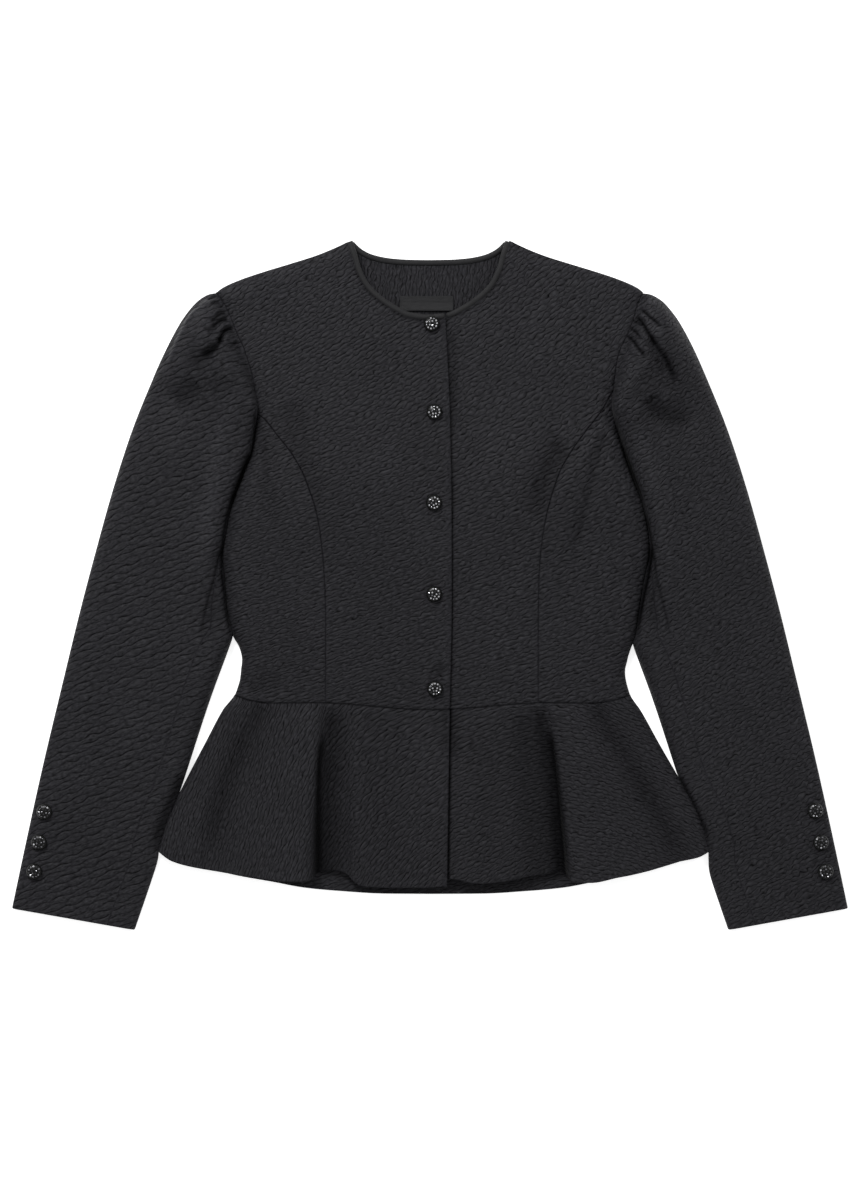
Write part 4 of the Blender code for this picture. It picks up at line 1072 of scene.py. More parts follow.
def creased(rows, x, y):
    """Depth at each place of the creases in some rows, and how much shade is painted there, a painted
    highlight where it is below none.
    """
    depth, dark = np.zeros(x.shape), np.zeros(x.shape)
    for deep, width_start, width_end, painted_shade_share, *spots in rows:
        run_x, run_y = np.array(spots).T
        length = np.append(0.0, np.cumsum(np.hypot(np.diff(run_x), np.diff(run_y))))
        steps = np.clip(CREASE_FINENESS * length[-1] / width_start, *CREASE_STEPS)
        share = np.linspace(0.0, 1.0, int(steps))
        fade = ease(share / CREASE_START) * (1 - ease((share - CREASE_HOLD) / (1 - CREASE_HOLD)))
        path_x = smooth(length / length[-1], run_x, share)
        path_y = smooth(length / length[-1], run_y, share)
        width = mix(width_start, width_end, share)
        reach = CREASE_REACH * width.max()
        near = (x > path_x.min() - reach) & (x < path_x.max() + reach)
        near &= (y > path_y.min() - reach) & (y < path_y.max() + reach)
        apart = np.hypot(x[near][:, None] - path_x, y[near][:, None] - path_y)
        closest = apart.argmin(axis=1)
        offset = apart[np.arange(len(closest)), closest] / width[closest]
        trough = np.exp(-(offset**2)) - CREASE_LIP[0] * np.exp(-((offset - CREASE_LIP[1]) ** 2))
        painted_core = sum(part * np.exp(-((offset / wide) ** 2)) for part, wide in PAINTED_CREASE_CORE)
        depth[near] += deep * fade[closest] * trough
        # Painted shade along the middle of the crease; a painted highlight where its share is below none
        dark[near] = 1 - (1 - dark[near]) * (1 - painted_shade_share * fade[closest] * painted_core)
    return np.stack((depth, dark))


def spaced(surface, axis, runs):
    """Lines an even distance apart along the middle of a panel. Each run has its start, end and spacing, and
    the panel's two ends have a few lines more."""
    lines = []
    for start, end, spacing in runs:
        fine = np.linspace(start, end, LINE_SAMPLES)
        middle = np.full_like(fine, 0.5)
        spots = surface(fine, middle) if axis == 0 else surface(middle, fine)
        length = np.append(0.0, np.cumsum(np.linalg.norm(np.diff(spots, axis=0), axis=-1)))
        marks = np.linspace(0.0, length[-1], max(2, round(length[-1] / spacing) + 1))
        extra = [EDGE_LINES] if start == 0.0 else []
        extra += [length[-1] - EDGE_LINES] if end == 1.0 else []
        lines.append(np.interp(np.concatenate([marks, *extra]), length, fine))
    return np.unique(np.concatenate(lines).round(9))


def from_edges(spots):
    """Distance of each point of a grid from the grid's four edges."""
    over = np.cumsum(np.linalg.norm(np.diff(spots, axis=1), axis=-1), axis=1)
    over = np.pad(over, ((0, 0), (1, 0)))
    up = np.cumsum(np.linalg.norm(np.diff(spots, axis=0), axis=-1), axis=0)
    up = np.pad(up, ((1, 0), (0, 0)))
    return over, over[:, -1:] - over, up, up[-1:] - up


def turned(far, deep, reach):
    """How far an edge turns down at a distance from it."""
    return deep * (1 - np.clip(far / reach, 0.0, 1.0)) ** 2


def every(count, stride):
    """Places of every few lines of a grid, its last one among them."""
    return np.unique(np.append(np.arange(0, count, stride), count - 1))


def closed_faces(rows, columns, kept_rows, kept_columns, flip):
    """Faces of a closed shell: a fine outer grid, an inner grid of the kept lines, and a rim between them."""
    outer = np.arange(rows * columns).reshape(rows, columns)
    inner = rows * columns + np.arange(len(kept_rows) * len(kept_columns))
    inner = inner.reshape(len(kept_rows), len(kept_columns))

    def quads(grid):
        corners = (grid[:-1, :-1], grid[:-1, 1:], grid[1:, 1:], grid[1:, :-1])
        return np.stack(corners, axis=-1).reshape(-1, 4)

    faces = quads(outer).tolist() + quads(inner)[:, ::-1].tolist()
    sides = (
        (outer[0], inner[0], kept_columns),
        (outer[:, -1], inner[:, -1], kept_rows),
        (outer[-1, ::-1], inner[-1, ::-1], columns - 1 - kept_columns[::-1]),
        (outer[::-1, 0], inner[::-1, 0], rows - 1 - kept_rows[::-1]),
    )
    for edge, inside, kept in sides:
        for number, (start, end) in enumerate(zip(kept, kept[1:])):
            faces.append(edge[start : end + 1][::-1].tolist() + [inside[number], inside[number + 1]])
    return [face[::-1] for face in faces] if flip else faces


def shell(name, surface, lines, outward, thickness, cloth, turns, facing_v=(0.0, 1.0), stride=INNER_STRIDE):
    """Closed thin shell on a panel's surface. cloth gives the weave at each place; turns are the four edges'
    depths and distances, and the shade painted along them."""
    u, v = np.meshgrid(*lines)
    spots = surface(u, v)
    normal = facing(surface, u, np.clip(v, *facing_v))
    flip = (normal * outward).sum() < 0
    normal = -normal if flip else normal
    edges = from_edges(spots)
    x, y = spots[..., 0], spots[..., 1]
    # Depth of the creases and the shade painted from them: a piece's own on faces that look up, on faces that
    # look down those of the side it lies on
    below = np.maximum(creased(creases_under(name), x, y), 0.0)
    hollow, dark = np.where(normal[..., 2] > 0, creased(creases_of(name), x, y), below)
    spots = spots - hollow[..., None] * normal
    kept_rows, kept_columns = every(len(v), stride), every(len(u[0]), stride)
    kept = np.ix_(kept_rows, kept_columns)
    (p, q, depth, raised), blister = cloth(u, v, spots)
    rims = list(zip(edges, turns))
    seams = [0.0 * u] + [turned(far, *turn[:2]) for far, turn in rims if turn[2] > 0]
    free = [0.0 * u] + [turned(far, *turn[:2]) for far, turn in rims if turn[2] == 0]
    # Shade painted along the edges, fading down the princess seams towards the waist
    fade = read(PAINTED_SEAM_FADE, "share", "y", spots[..., 1])
    painted_edge_shade = [0.0 * u]
    for far, turn in rims:
        painted_edge_shade.append(turned(far, turn[2], turn[1]) * (fade if turn[3:] else 1.0))
    level = ease((np.abs(normal[..., 2]) - UPRIGHT[0]) / (UPRIGHT[1] - UPRIGHT[0]))
    depth = depth * ease(np.minimum.reduce(edges) / FLAT_EDGE) * level
    sunk = depth * (1 - pillow(p, q) - raised) + sum(free)
    lowered = np.minimum(sum(seams), SEAM_TURN[0])
    inner = (spots - thickness * normal)[kept]
    outer = spots - sunk[..., None] * normal - (lowered * np.sign(normal[..., 2]))[..., None] * UP
    points_of = np.concatenate((outer.reshape(-1, 3), inner.reshape(-1, 3)))
    faces = closed_faces(*u.shape, kept_rows, kept_columns, flip)
    mesh = bpy.data.meshes.new(name)
    mesh.from_pydata((points_of * MM).tolist(), [], faces)
    mesh.shade_smooth()
    stored = np.stack((p, q, depth), axis=-1)
    stored = np.concatenate((stored.reshape(-1, 3), stored[kept].reshape(-1, 3)))
    mesh.attributes.new("weave", "FLOAT_VECTOR", "POINT").data.foreach_set("vector", stored.ravel())
    threads = np.stack((p * blister[0], q * blister[1], raised), axis=-1)
    threads = np.concatenate((threads.reshape(-1, 3), threads[kept].reshape(-1, 3)))
    mesh.attributes.new("threads", "FLOAT_VECTOR", "POINT").data.foreach_set("vector", threads.ravel())
    # Painted shade from the creases and along the edges, kept for the colour; where it is below none it is a
    # painted highlight
    shade = 1 - (1 - dark) * (1 - np.maximum.reduce(painted_edge_shade))
    shade = np.concatenate((shade.ravel(), shade[kept].ravel()))
    mesh.attributes.new("shade", "FLOAT", "POINT").data.foreach_set("value", shade)
    return mesh


# Where a sleeve's normals are read along it, and the lengths that the weave is measured on
SLEEVE_FACING = (0.0, 0.98)
PEPLUM_WAIST = 195.0
PEPLUM_LENGTH = 165.0
NECK_SEAM = 106.0
BACK_NECK_SEAM = 132.0

# Cut of each piece: width, length and area, in metres
FRONT_CUT = (0.22, 0.44, 0.055)
SIDE_FRONT_CUT = (0.10, 0.28, 0.0245)
BACK_CUT = (0.205, 0.43, 0.075)
PEPLUM_CUT = (0.33, 0.20, 0.042)
BACK_PEPLUM_CUT = (0.52, 0.185, 0.078)
UPPER_SLEEVE_CUT = (0.165, 0.62, 0.075)
UNDER_SLEEVE_CUT = (0.19, 0.62, 0.085)

# Buttons: a dome on a turned base, how each is spun, and where a cuff's are looked for; rings of stones with
# their count, place, size and lean; a stone's own rings
BUTTON_RADIUS = 7.3
BUTTON_RIM = 1.6
BUTTON_RISE = 3.6
BUTTON_BASE = ((7.1, 1.1), (6.7, 0.7), (5.6, 0.25), (4.4, 0.0))
BUTTON_SIDES, DOME_RINGS = 40, 14
BUTTON_SPINS = (0.0, 4.0, 11)
STONE_SPIN = 3.7
CUFF_SEARCH = ((0.02, 0.3, 200), (0.0, 0.25, 200))
PLAN_RANGE = (-500.0, 500.0)
STONES = ((11, 4.95, 1.02, 34.0), (5, 2.2, 0.95, 12.0))
STONE_SINK = 0.25
STONE_KINDS = {"front": (1, 1, 2, 1, 3, 1, 2), "cuff": (2, 3, 1, 2, 3, 2, 3)}
CUFF_BUTTON_LEVEL = 2.5
STONE_RINGS = ((0.8, -0.55, 8, 0.0), (1.0, 0.0, 8, 0.0), (0.78, 0.32, 8, 0.39), (0.48, 0.5, 8, 0.0))

# Finishes: colours, scale and detail of the fine and the slow noise, and where each spread of a value starts
# and how far it goes
CLOTH_COLOUR = (0.0199, 0.0196, 0.0222, 1.0)
LIGHTEST = 2.5
BAND_COLOUR = (0.0138, 0.0137, 0.0147, 1.0)
LABEL_COLOUR = (0.0122, 0.0122, 0.0134, 1.0)
# Shade painted into the crinkle's crease lines, and how sharp those lines are
CREASE_PAINTED_SHADE = 0.75
CREASE_SHARPNESS = 2.8
# Shade and highlight painted on the tufts, following how far each stands up
TUFT_PAINTED_SHADE = 1.0
STROKE_SIZE = (3.6, 1.6)
STROKE_SHADE = 2.1
STROKE_DETAIL = 1.5
DARKEST_STROKE = 0.1
CLOTH_GRAIN, CLOTH_SLOW = (1500.0, 2.0), (22.0, 2.0)
SLOW_SHADE = (0.85, 0.3)
RELIEF = {"grain": 0.2, "crease": 0.35, "strokes": 0.8}
RELIEF_HEIGHT = 0.0008
CLOTH_ROUGHNESS = (0.42, 0.2)
CLOTH_SHEEN = (0.02, 0.4)
CLOTH_SHINE = 0.08
BAND_GRAIN, BAND_SLOW = (1800.0, 3.0), (90.0, 2.0)
BAND_SHADE, BAND_ROUGHNESS = (0.6, 0.8), (0.55, 0.2)
BAND_SHINE, BAND_SHEEN, BAND_RELIEF = 0.2, (0.03, 0.4), (0.0003, 0.5)
LABEL_RIBS, LABEL_SLOW = (700.0, 1.2), (160.0, 2.0)
LABEL_SHADE, LABEL_ROUGHNESS = (0.65, 0.7), (0.42, 0.18)
LABEL_SHINE, LABEL_RELIEF = 0.2, (0.0002, 0.35)
JET_SLOW, JET_TONES, JET_ROUGHNESS, JET_SHINE = (400.0, 3.0), (0.003, 0.007), (0.18, 0.2), 0.16
STONE_SLOW, STONE_METAL, STONE_ROUGHNESS = (900.0, 1.0), 0.85, (0.04, 0.12)
FLOOR_SLOW, FLOOR_TONES, FLOOR_ROUGHNESS, FLOOR_SHINE = (3.0, 2.0), (0.90, 0.94), 0.9, 0.1
STONE_COLOURS = {
    "clear": ((0.40, 0.41, 0.44, 1.0), (0.95, 0.95, 0.97, 1.0)),
    "grey": ((0.10, 0.10, 0.11, 1.0), (0.34, 0.34, 0.36, 1.0)),
    "smoky": ((0.02, 0.02, 0.022, 1.0), (0.10, 0.10, 0.105, 1.0)),
}

# Stage
FLOOR_HALF = 6.0
FLOOR_Z = -0.0002
LIGHTS = (("key", (-1.0, 1.9, 2.1), 0.9, 60.0), ("side", (1.9, 1.2, 2.0), 0.9, 12.0))
WORLD_STRENGTH = 0.5
FLOOR_GLOW = 0.7
EXPOSURE = 0.0
SENSOR = 36.0
CAMERA_HEIGHT = 6.0
CAMERA_REACH = 100.0
PICTURE_HEIGHT = 1.1011
PICTURE_MIDDLE = (0.0019, -0.0051)


def side_name(side):
    return "right" if side == RIGHT else "left"


def add_piece(name, mesh, materials, node):
    """Piece of the scene on the garment's one body, in place of its node."""
    for each in materials:
        mesh.materials.append(each)
    piece = bpy.data.objects.new(name, mesh)
    bpy.context.scene.collection.objects.link(piece)
    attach(piece, "root")
    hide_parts(node)
    return piece


def add_cloth(node, surface, runs, outward, cloth, turns, cut, rests_on, held="laid", **shape):
    """Cloth piece that stands for a node. cut is the width, length and area that it was cut to, in metres,
    and is not used.
    """
    lines = [spaced(surface, axis, each) for axis, each in enumerate(runs)]
    mesh = shell(node, surface, lines, outward, CLOTH, cloth, turns, **shape)
    piece = add_piece(f"{node}_cloth", mesh, [LOOKS["cloth"]], node)


def pressed(distance):
    """Share of the crinkle that is left beside a pressed front edge."""
    return mix(PRESSED_DEPTH, 1.0, ease(distance / PRESSED_STRIP * 2 - 1))


def plan_weave(degrees, seed, strip=None):
    """Weave on a panel, on the front's own grain unless degrees are given; strip is an edge pressed flat."""

    def cloth(u, v, spots):
        x, y = spots[..., 0], spots[..., 1]
        angle = read(GRAIN, "degrees", "y", y) if degrees is None else degrees
        woven, blister = weave(x, y, angle, seed, **BODY_CRINKLE)
        woven[2] *= DEPTH
        if strip is not None:
            woven[2] *= pressed(strip(y) - x)
        return woven, blister

    return cloth


def add_bodice():
    """Centre fronts, side fronts and the two halves of the back."""
    for side in (RIGHT, LEFT):
        named = side_name(side)
        strip = (lambda y: lap_x(RIGHT, y)) if side == RIGHT else None
        front_turns = (FREE_TURN, PRINCESS_TURN, WAIST_TURN, SHOULDER_TURN)
        turns = (PRINCESS_TURN, OUTLINE_TURN, WAIST_TURN, SEAM_TURN)
        edges = (0.0, FRONT_UNDERARM_TURN, FRONT_NECK_TURN, 1.0)
        rows = [(start, end, UPWARD) for start, end in zip(edges, edges[1:])]
        under = ["left_front_cloth"] if side == RIGHT else [f"{named}_back_cloth"]
        runs = ([(0.0, 1.0, ACROSS)], rows)
        cloth = plan_weave(None, SEEDS["front"] + side, strip)
        add_cloth(f"{named}_front", centre_front(side), runs, UP, cloth, front_turns, FRONT_CUT, under)
        runs = ([(0.0, 1.0, ACROSS)], [(0.0, 1.0, UPWARD)])
        under = [f"{named}_back_cloth"]
        cloth = plan_weave(None, SEEDS["side_front"] + side)
        add_cloth(f"{named}_side_front", side_front(side), runs, UP, cloth, turns, SIDE_FRONT_CUT, under)
        edges = (0.0, BACK_UNDERARM_TURN, BACK_NECK_TURN, BACK_SHOULDER_START, 1.0)
        rows = list(zip(edges, edges[1:], BACK_UPWARD))
        runs = ([(0.0, BACK_MIDDLE, BACK_ACROSS), (BACK_MIDDLE, 1.0, HIDDEN)], rows)
        turns = (BACK_NECK_EDGE, *turns[1:])
        cloth = plan_weave(INSIDE_GRAIN, SEEDS["back"] + side)
        add_cloth(f"{named}_back", back(side), runs, -UP, cloth, turns, BACK_CUT, ["floor"], stride=1)


def peplum_weave(side, seed):
    """Weave on a flared peplum: its lines are straight on the flat sector that it was cut from."""

    def cloth(u, v, spots):
        away = 1 - u if side == RIGHT else u
        turn = side * PEPLUM_SECTOR[side] * away
        radius = PEPLUM_WAIST / PEPLUM_SECTOR[side] + PEPLUM_LENGTH * v
        place = radius * np.sin(turn), -radius * np.cos(turn)
        woven, blister = weave(*place, PEPLUM_GRAIN[side], seed, **PEPLUM_CRINKLE)
        woven[2] *= DEPTH
        if side == RIGHT:
            woven[2] *= pressed(lap_x(RIGHT, spots[..., 1]) - spots[..., 0])
        return woven, blister

    return cloth


def add_peplum():
    """Two flared front peplums and the back one."""
    for side in (RIGHT, LEFT):
        named = side_name(side)
        turns = (OUTLINE_TURN, FREE_TURN, WAIST_TURN, FREE_TURN)
        turns = turns if side == RIGHT else (FREE_TURN, OUTLINE_TURN, WAIST_TURN, FREE_TURN)
        under = ["left_peplum_cloth"] if side == RIGHT else ["back_peplum_cloth"]
        runs = ([(0.0, 1.0, UPWARD)], [(0.0, 1.0, UPWARD)])
        cloth = peplum_weave(side, SEEDS["peplum"] + side)
        add_cloth(f"{named}_peplum", front_peplum(side), runs, UP, cloth, turns, PEPLUM_CUT, under)
    upward = [(0.0, BACK_HEM_START, HIDDEN), (BACK_HEM_START, 1.0, BACK_HEM_UPWARD)]
    runs = ([(0.0, 1.0, BACK_PEPLUM_ACROSS)], upward)
    turns = (OUTLINE_TURN, OUTLINE_TURN, SEAM_TURN, FREE_TURN)
    cloth = plan_weave(None, SEEDS["back_peplum"])
    add_cloth("back_peplum", back_peplum, runs, -UP, cloth, turns, BACK_PEPLUM_CUT, ["floor"], stride=1)


def upper_sleeve(surface, seam_place):
    """Upper sleeve from the outer edge over the top to the under-sleeve seam."""

    def panel(u, v):
        return surface(u * seam_place(v), v)

    return panel


def under_sleeve(surface, seam_place):
    """Under-sleeve: the first half runs from the seam on top to the inner edge, the second on round below."""

    def panel(u, v):
        strip = mix(seam_place(v), 1.0, u * 2)
        return surface(np.where(u <= 0.5, strip, u * 2), v)

    return panel


def sleeve_weave(side, seed):
    """Weave on a sleeve: its lines are straight in plan, and measured along the cloth where it rolls over."""
    lean = math.radians(side * SLEEVE_LEAN)
    inward = -side * np.array([math.cos(lean), math.sin(lean)])

    def cloth(u, v, spots):
        step = np.diff(spots, axis=1)
        extra = np.linalg.norm(step, axis=-1) - np.linalg.norm(step[..., :2], axis=-1)
        extra = np.pad(np.cumsum(extra, axis=1), ((0, 0), (1, 0)))
        extra = extra - extra[:, extra.shape[1] // 2, None]
        x, y = (spots[..., axis] + extra * inward[axis] for axis in (0, 1))
        woven, blister = weave(x, y, SLEEVE_GRAIN[side], seed, **SLEEVE_CRINKLE[side])
        woven[2] *= DEPTH
        return woven, blister

    return cloth


def add_sleeves():
    """Upper sleeves, and under-sleeves that run from the seam on top round the inner edge and underside."""
    for side in (RIGHT, LEFT):
        named = side_name(side)
        surface, seam_place = sleeve_surface(side)
        turns = (OUTLINE_TURN, SLEEVE_SEAM_TURN, FREE_TURN, SEAM_TURN)
        cloth = sleeve_weave(side, SEEDS["upper_sleeve"] + side)
        panel = upper_sleeve(surface, seam_place)
        runs = ([(0.0, 1.0, UPWARD)], [(0.0, PUFF_START, SLEEVE_UPWARD), (PUFF_START, 1.0, PUFF_UPWARD)])
        under = [f"{named}_under_sleeve_cloth"]
        shape = {"held": "gathered", "facing_v": SLEEVE_FACING}
        add_cloth(f"{named}_upper_sleeve", panel, runs, UP, cloth, turns, UPPER_SLEEVE_CUT, under, **shape)
        turns = (SLEEVE_SEAM_TURN, OUTLINE_TURN, FREE_TURN, SEAM_TURN)
        cloth = sleeve_weave(side, SEEDS["under_sleeve"] + side)
        panel = under_sleeve(surface, seam_place)
        runs = ([(0.0, 0.5, UPWARD), (0.5, 1.0, UNDERSIDE_ACROSS)], [(0.0, 1.0, UNDER_UPWARD)])
        under = ["floor"]
        shape = {"held": "laid", "facing_v": SLEEVE_FACING}
        add_cloth(f"{named}_under_sleeve", panel, runs, -UP, cloth, turns, UNDER_SLEEVE_CUT, under, **shape)


def band(rows, side, start, end, height_at, closed_start):
    """Rolled binding along a neck line, as the part of a tube that its cloth goes round."""
    middle = BAND_WIDTH / 2

    def panel(u, v):
        share = mix(start, end, u)
        line = neck_line(rows, side, share, middle)
        beyond = neck_line(rows, side, share, middle + 1.0)
        sideways = beyond - line
        angle = np.radians(mix(*BAND_TURN_DEGREES, v))
        far = 1 - np.clip(u * (end - start) * NECK_SEAM / BAND_END, 0.0, 1.0) if closed_start else 0.0 * u
        size = np.sqrt(1 - BAND_CLOSING * far * far)
        reach = BAND_WIDTH / 2 * np.cos(angle) * size
        lift = BAND_THICKNESS / 2 * np.sin(angle) * size
        x = line[..., 0] + sideways[..., 0] * reach
        y = line[..., 1] + sideways[..., 1] * reach
        return np.stack((x, y, height_at(line[..., 0], line[..., 1]) + lift), axis=-1)

    return panel


def smooth_weave(length, seed):
    """Plain binding or tape: places on it, with hardly any crinkle."""

    def cloth(u, v, spots):
        woven, blister = weave(length * u, BAND_AROUND * v, 0.0, seed, **BAND_CRINKLE)
        woven[2] *= BAND_DEPTH
        return woven, blister

    return cloth


def add_band(node, surface, length):
    """Binding that stands for a node, as a rolled strip of a length."""
    lines = [spaced(surface, 0, [(0.0, 1.0, BAND_SPACING)]), np.linspace(0.0, 1.0, BAND_LINES)]
    spots = surface(*np.meshgrid(*lines))
    outward = spots - spots.mean(axis=0)
    cloth = smooth_weave(length, SEEDS["band"])
    mesh = shell(node, surface, lines, outward, BAND_CLOTH, cloth, (PLAIN_EDGE,) * 4, stride=1)
    piece = add_piece(f"{node}_roll", mesh, [LOOKS["band"]], node)


def add_neck():
    """Binding round the neck opening, and the label on the inside of the back."""
    edge = lap_share(RIGHT)
    starts = {RIGHT: -edge, LEFT: edge + LAP_CLEARANCE}
    for side in (RIGHT, LEFT):
        named = side_name(side)

        def on_front(x, y):
            return front_height(x, y) - lap_drop(side, x, y) - BAND_SINK

        surface = band(NECK_FRONT, side, starts[side], 1.0, on_front, True)
        add_band(f"{named}_neck_band", surface, (1.0 - starts[side]) * NECK_SEAM)

    def on_back(x, y):
        return back_height(x, y) + BAND_THICKNESS / 2

    surface = band(NECK_BACK, LEFT, -BACK_BAND_REACH, BACK_BAND_REACH, on_back, False)
    add_band("back_neck_band", surface, BACK_NECK_SEAM)

    def tape(u, v):
        x = LABEL_PLACE[0] + (u - 0.5) * LABEL_SIZE[0]
        y = LABEL_PLACE[1] + (v - 0.5) * LABEL_SIZE[1]
        tilt = mix(LABEL_LOW_END, 1.0, ease(u * LABEL_TILT[0] - LABEL_TILT[1]))
        lift = LABEL_LIFT * (1 - ease(v / LABEL_CURL)) * tilt
        wave = LABEL_WAVE[0] * np.sin(u * LABEL_WAVE[1] + LABEL_WAVE[2]) * (1 - v)
        return np.stack((x, y, CLOTH + SEAT + LABEL_CLOTH + lift + wave), axis=-1)

    lines = [np.linspace(0.0, 1.0, count) for count in LABEL_LINES]
    cloth = smooth_weave(LABEL_SIZE[0], SEEDS["label"])
    mesh = shell("neck_label", tape, lines, UP, LABEL_CLOTH, cloth, (LABEL_TURN,) * 4, stride=1)
    piece = add_piece("neck_label_tape", mesh, [LOOKS["label"]], "neck_label")


def stone(shape, place, normal, radius, spin, kind):
    """Cut stone: a table, a belt of kite facets and a girdle that sinks into its setting."""
    turn = Vector((0, 0, 1)).rotation_difference(normal).to_matrix()
    rings = []
    for share, high, sides, start in STONE_RINGS:
        angles = [spin + start + 2 * math.pi * i / sides for i in range(sides)]
        wide = radius * share
        ring = [Vector((math.cos(a) * wide, math.sin(a) * wide, high * radius)) for a in angles]
        rings.append([shape.verts.new((place + turn @ spot) * MM) for spot in ring])
    made = [shape.faces.new(rings[-1])]
    for low, high in zip(rings, rings[1:]):
        count = len(low)
        for i in range(count):
            made.append(shape.faces.new((low[i], low[(i + 1) % count], high[i])))
            made.append(shape.faces.new((low[(i + 1) % count], high[(i + 1) % count], high[i])))
    for face in made:
        face.material_index = kind
        face.smooth = False


def dome(radius):
    """Height of a button's dome at a distance from its middle."""
    return BUTTON_RIM + BUTTON_RISE * math.sqrt(max(0.0, 1 - (radius / BUTTON_RADIUS) ** 2))


def add_button(node, seat, normal, spin):
    """Domed jet button with a ring of cut stones and a few in its middle."""
    shape = bmesh.new()
    arc = [BUTTON_RADIUS * math.sin(math.pi / 2 * i / DOME_RINGS) for i in range(1, DOME_RINGS + 1)]
    profile = [(r, dome(r)) for r in arc] + list(BUTTON_BASE)
    top = shape.verts.new((0, 0, dome(0.0) * MM))
    rings = []
    for radius, high in profile:
        angles = [2 * math.pi * i / BUTTON_SIDES for i in range(BUTTON_SIDES)]
        ring = [(math.cos(a) * radius * MM, math.sin(a) * radius * MM, high * MM) for a in angles]
        rings.append([shape.verts.new(spot) for spot in ring])
    for i in range(BUTTON_SIDES):
        j = (i + 1) % BUTTON_SIDES
        shape.faces.new((top, rings[0][i], rings[0][j]))
        for near, far in zip(rings, rings[1:]):
            shape.faces.new((near[i], far[i], far[j], near[j]))
    shape.faces.new(rings[-1][::-1])
    for face in shape.faces:
        face.smooth = True
    kinds = itertools.cycle(STONE_KINDS["cuff" if "cuff" in node else "front"])
    for count, ring_radius, stone_radius, lean in STONES:
        for i in range(count):
            angle = spin + 2 * math.pi * i / count
            out = Vector((math.cos(angle), math.sin(angle), 0.0))
            tilt = math.radians(lean)
            facing_out = out * math.sin(tilt) + Vector((0, 0, math.cos(tilt)))
            place = out * ring_radius + Vector((0, 0, dome(ring_radius) - STONE_SINK))
            stone(shape, place, facing_out, stone_radius, angle * STONE_SPIN, next(kinds))
    turn = Vector((0, 0, 1)).rotation_difference(Vector(normal)).to_matrix().to_4x4()
    shape.transform(Matrix.Translation(Vector(seat + SEAT * normal) * MM) @ turn)
    mesh = bpy.data.meshes.new(node)
    shape.to_mesh(mesh)
    shape.free()
    add_piece(f"{node}_jewel", mesh, [LOOKS["jet"], *LOOKS["stones"]], node)


def add_buttons():
    """Five buttons down the front, and three on each cuff where the sleeve comes closest to their places."""

    def front(x, y):
        return np.stack((x, y, front_height(x, y)), axis=-1)

    spins = iter(np.linspace(*BUTTON_SPINS))
    for number, (x, y) in enumerate(zip(*FRONT_BUTTONS.values()), start=1):
        normal = facing(front, np.array([x]), np.array([y]), PLAN_RANGE, PLAN_RANGE)[0]
        add_button(f"front_button_{number}", np.array([x, y, front_height(x, y)]), normal, next(spins))
    search = [np.linspace(*each) for each in CUFF_SEARCH]
    places = np.stack(np.meshgrid(*search), axis=-1).reshape(-1, 2)
    for side in (RIGHT, LEFT):
        surface, _ = sleeve_surface(side)
        spots = surface(places[:, 0], places[:, 1])
        for number, (out, y) in enumerate(zip(*CUFF_BUTTONS.values()), start=1):
            nearest = np.argmin(np.hypot(spots[:, 0] - side * out, spots[:, 1] - y))
            s, t = places[nearest, :1], places[nearest, 1:]
            normal = facing(surface, s, t, (0.0, 2.0))[0]
            normal = normal * np.sign(normal[2]) + CUFF_BUTTON_LEVEL * UP
            normal = normal / np.linalg.norm(normal)
            add_button(f"{side_name(side)}_cuff_button_{number}", spots[nearest], normal, next(spins))


class Nodes:
    """Short way to add shader nodes to a material and join them."""

    def __init__(self, name):
        self.made = bpy.data.materials.new(name)
        self.made.use_nodes = True
        self.tree = self.made.node_tree
        self.shader = self.tree.nodes["Principled BSDF"]

    def node(self, kind, **settings):
        made = self.tree.nodes.new(kind)
        for key, value in settings.items():
            setattr(made, key, value)
        return made

    def put(self, value, socket):
        if isinstance(value, bpy.types.NodeSocket):
            self.tree.links.new(value, socket)
        else:
            socket.default_value = value

    def math(self, operation, *values):
        made = self.node("ShaderNodeMath", operation=operation)
        for value, socket in zip(values, made.inputs):
            self.put(value, socket)
        return made.outputs[0]

    def noise(self, scale, detail, place=None):
        """Uneven values on the object's own coordinates, or at a place that is given."""
        if place is None:
            place = self.node("ShaderNodeTexCoord").outputs["Object"]
        made = self.node("ShaderNodeTexNoise")
        made.inputs["Scale"].default_value = scale
        made.inputs["Detail"].default_value = detail
        self.put(place, made.inputs["Vector"])
        return made.outputs["Fac"]

    def attribute_parts(self, name):
        """The three numbers that an attribute of the mesh holds."""
        parts = self.node("ShaderNodeSeparateXYZ")
        self.put(self.node("ShaderNodeAttribute", attribute_name=name).outputs["Vector"], parts.inputs[0])
        return parts.outputs

    def strokes(self, attribute, size):
        """Short uneven strokes along the threads, of a given length and width in millimetres."""
        place = self.node("ShaderNodeAttribute", attribute_name=attribute).outputs["Vector"]
        moved = self.node("ShaderNodeMapping")
        moved.inputs["Scale"].default_value = (1 / size[0], 1 / size[1], 1.0)
        self.put(place, moved.inputs["Vector"])
        return self.noise(1.0, STROKE_DETAIL, moved.outputs[0])

    def spread(self, value, least, more):
        """A value from 0 to 1, spread over a range that starts at least."""
        return self.math("ADD", least, self.math("MULTIPLY", value, more))

    def blend(self, share, dark, light):
        made = self.node("ShaderNodeMix", data_type="RGBA")
        self.put(share, made.inputs["Factor"])
        colours = [socket for socket in made.inputs if socket.type == "RGBA"]
        colours[0].default_value = dark
        colours[1].default_value = light
        return [socket for socket in made.outputs if socket.type == "RGBA"][0]

    def bump(self, height, distance, strength):
        made = self.node("ShaderNodeBump")
        made.inputs["Strength"].default_value = strength
        made.inputs["Distance"].default_value = distance
        self.put(height, made.inputs["Height"])
        return made.outputs[0]

    def finish(self, **values):
        for key, value in values.items():
            self.put(value, self.shader.inputs[key.replace("_", " ")])
        return self.made


def grey(level):
    return (level, level, level, 1.0)


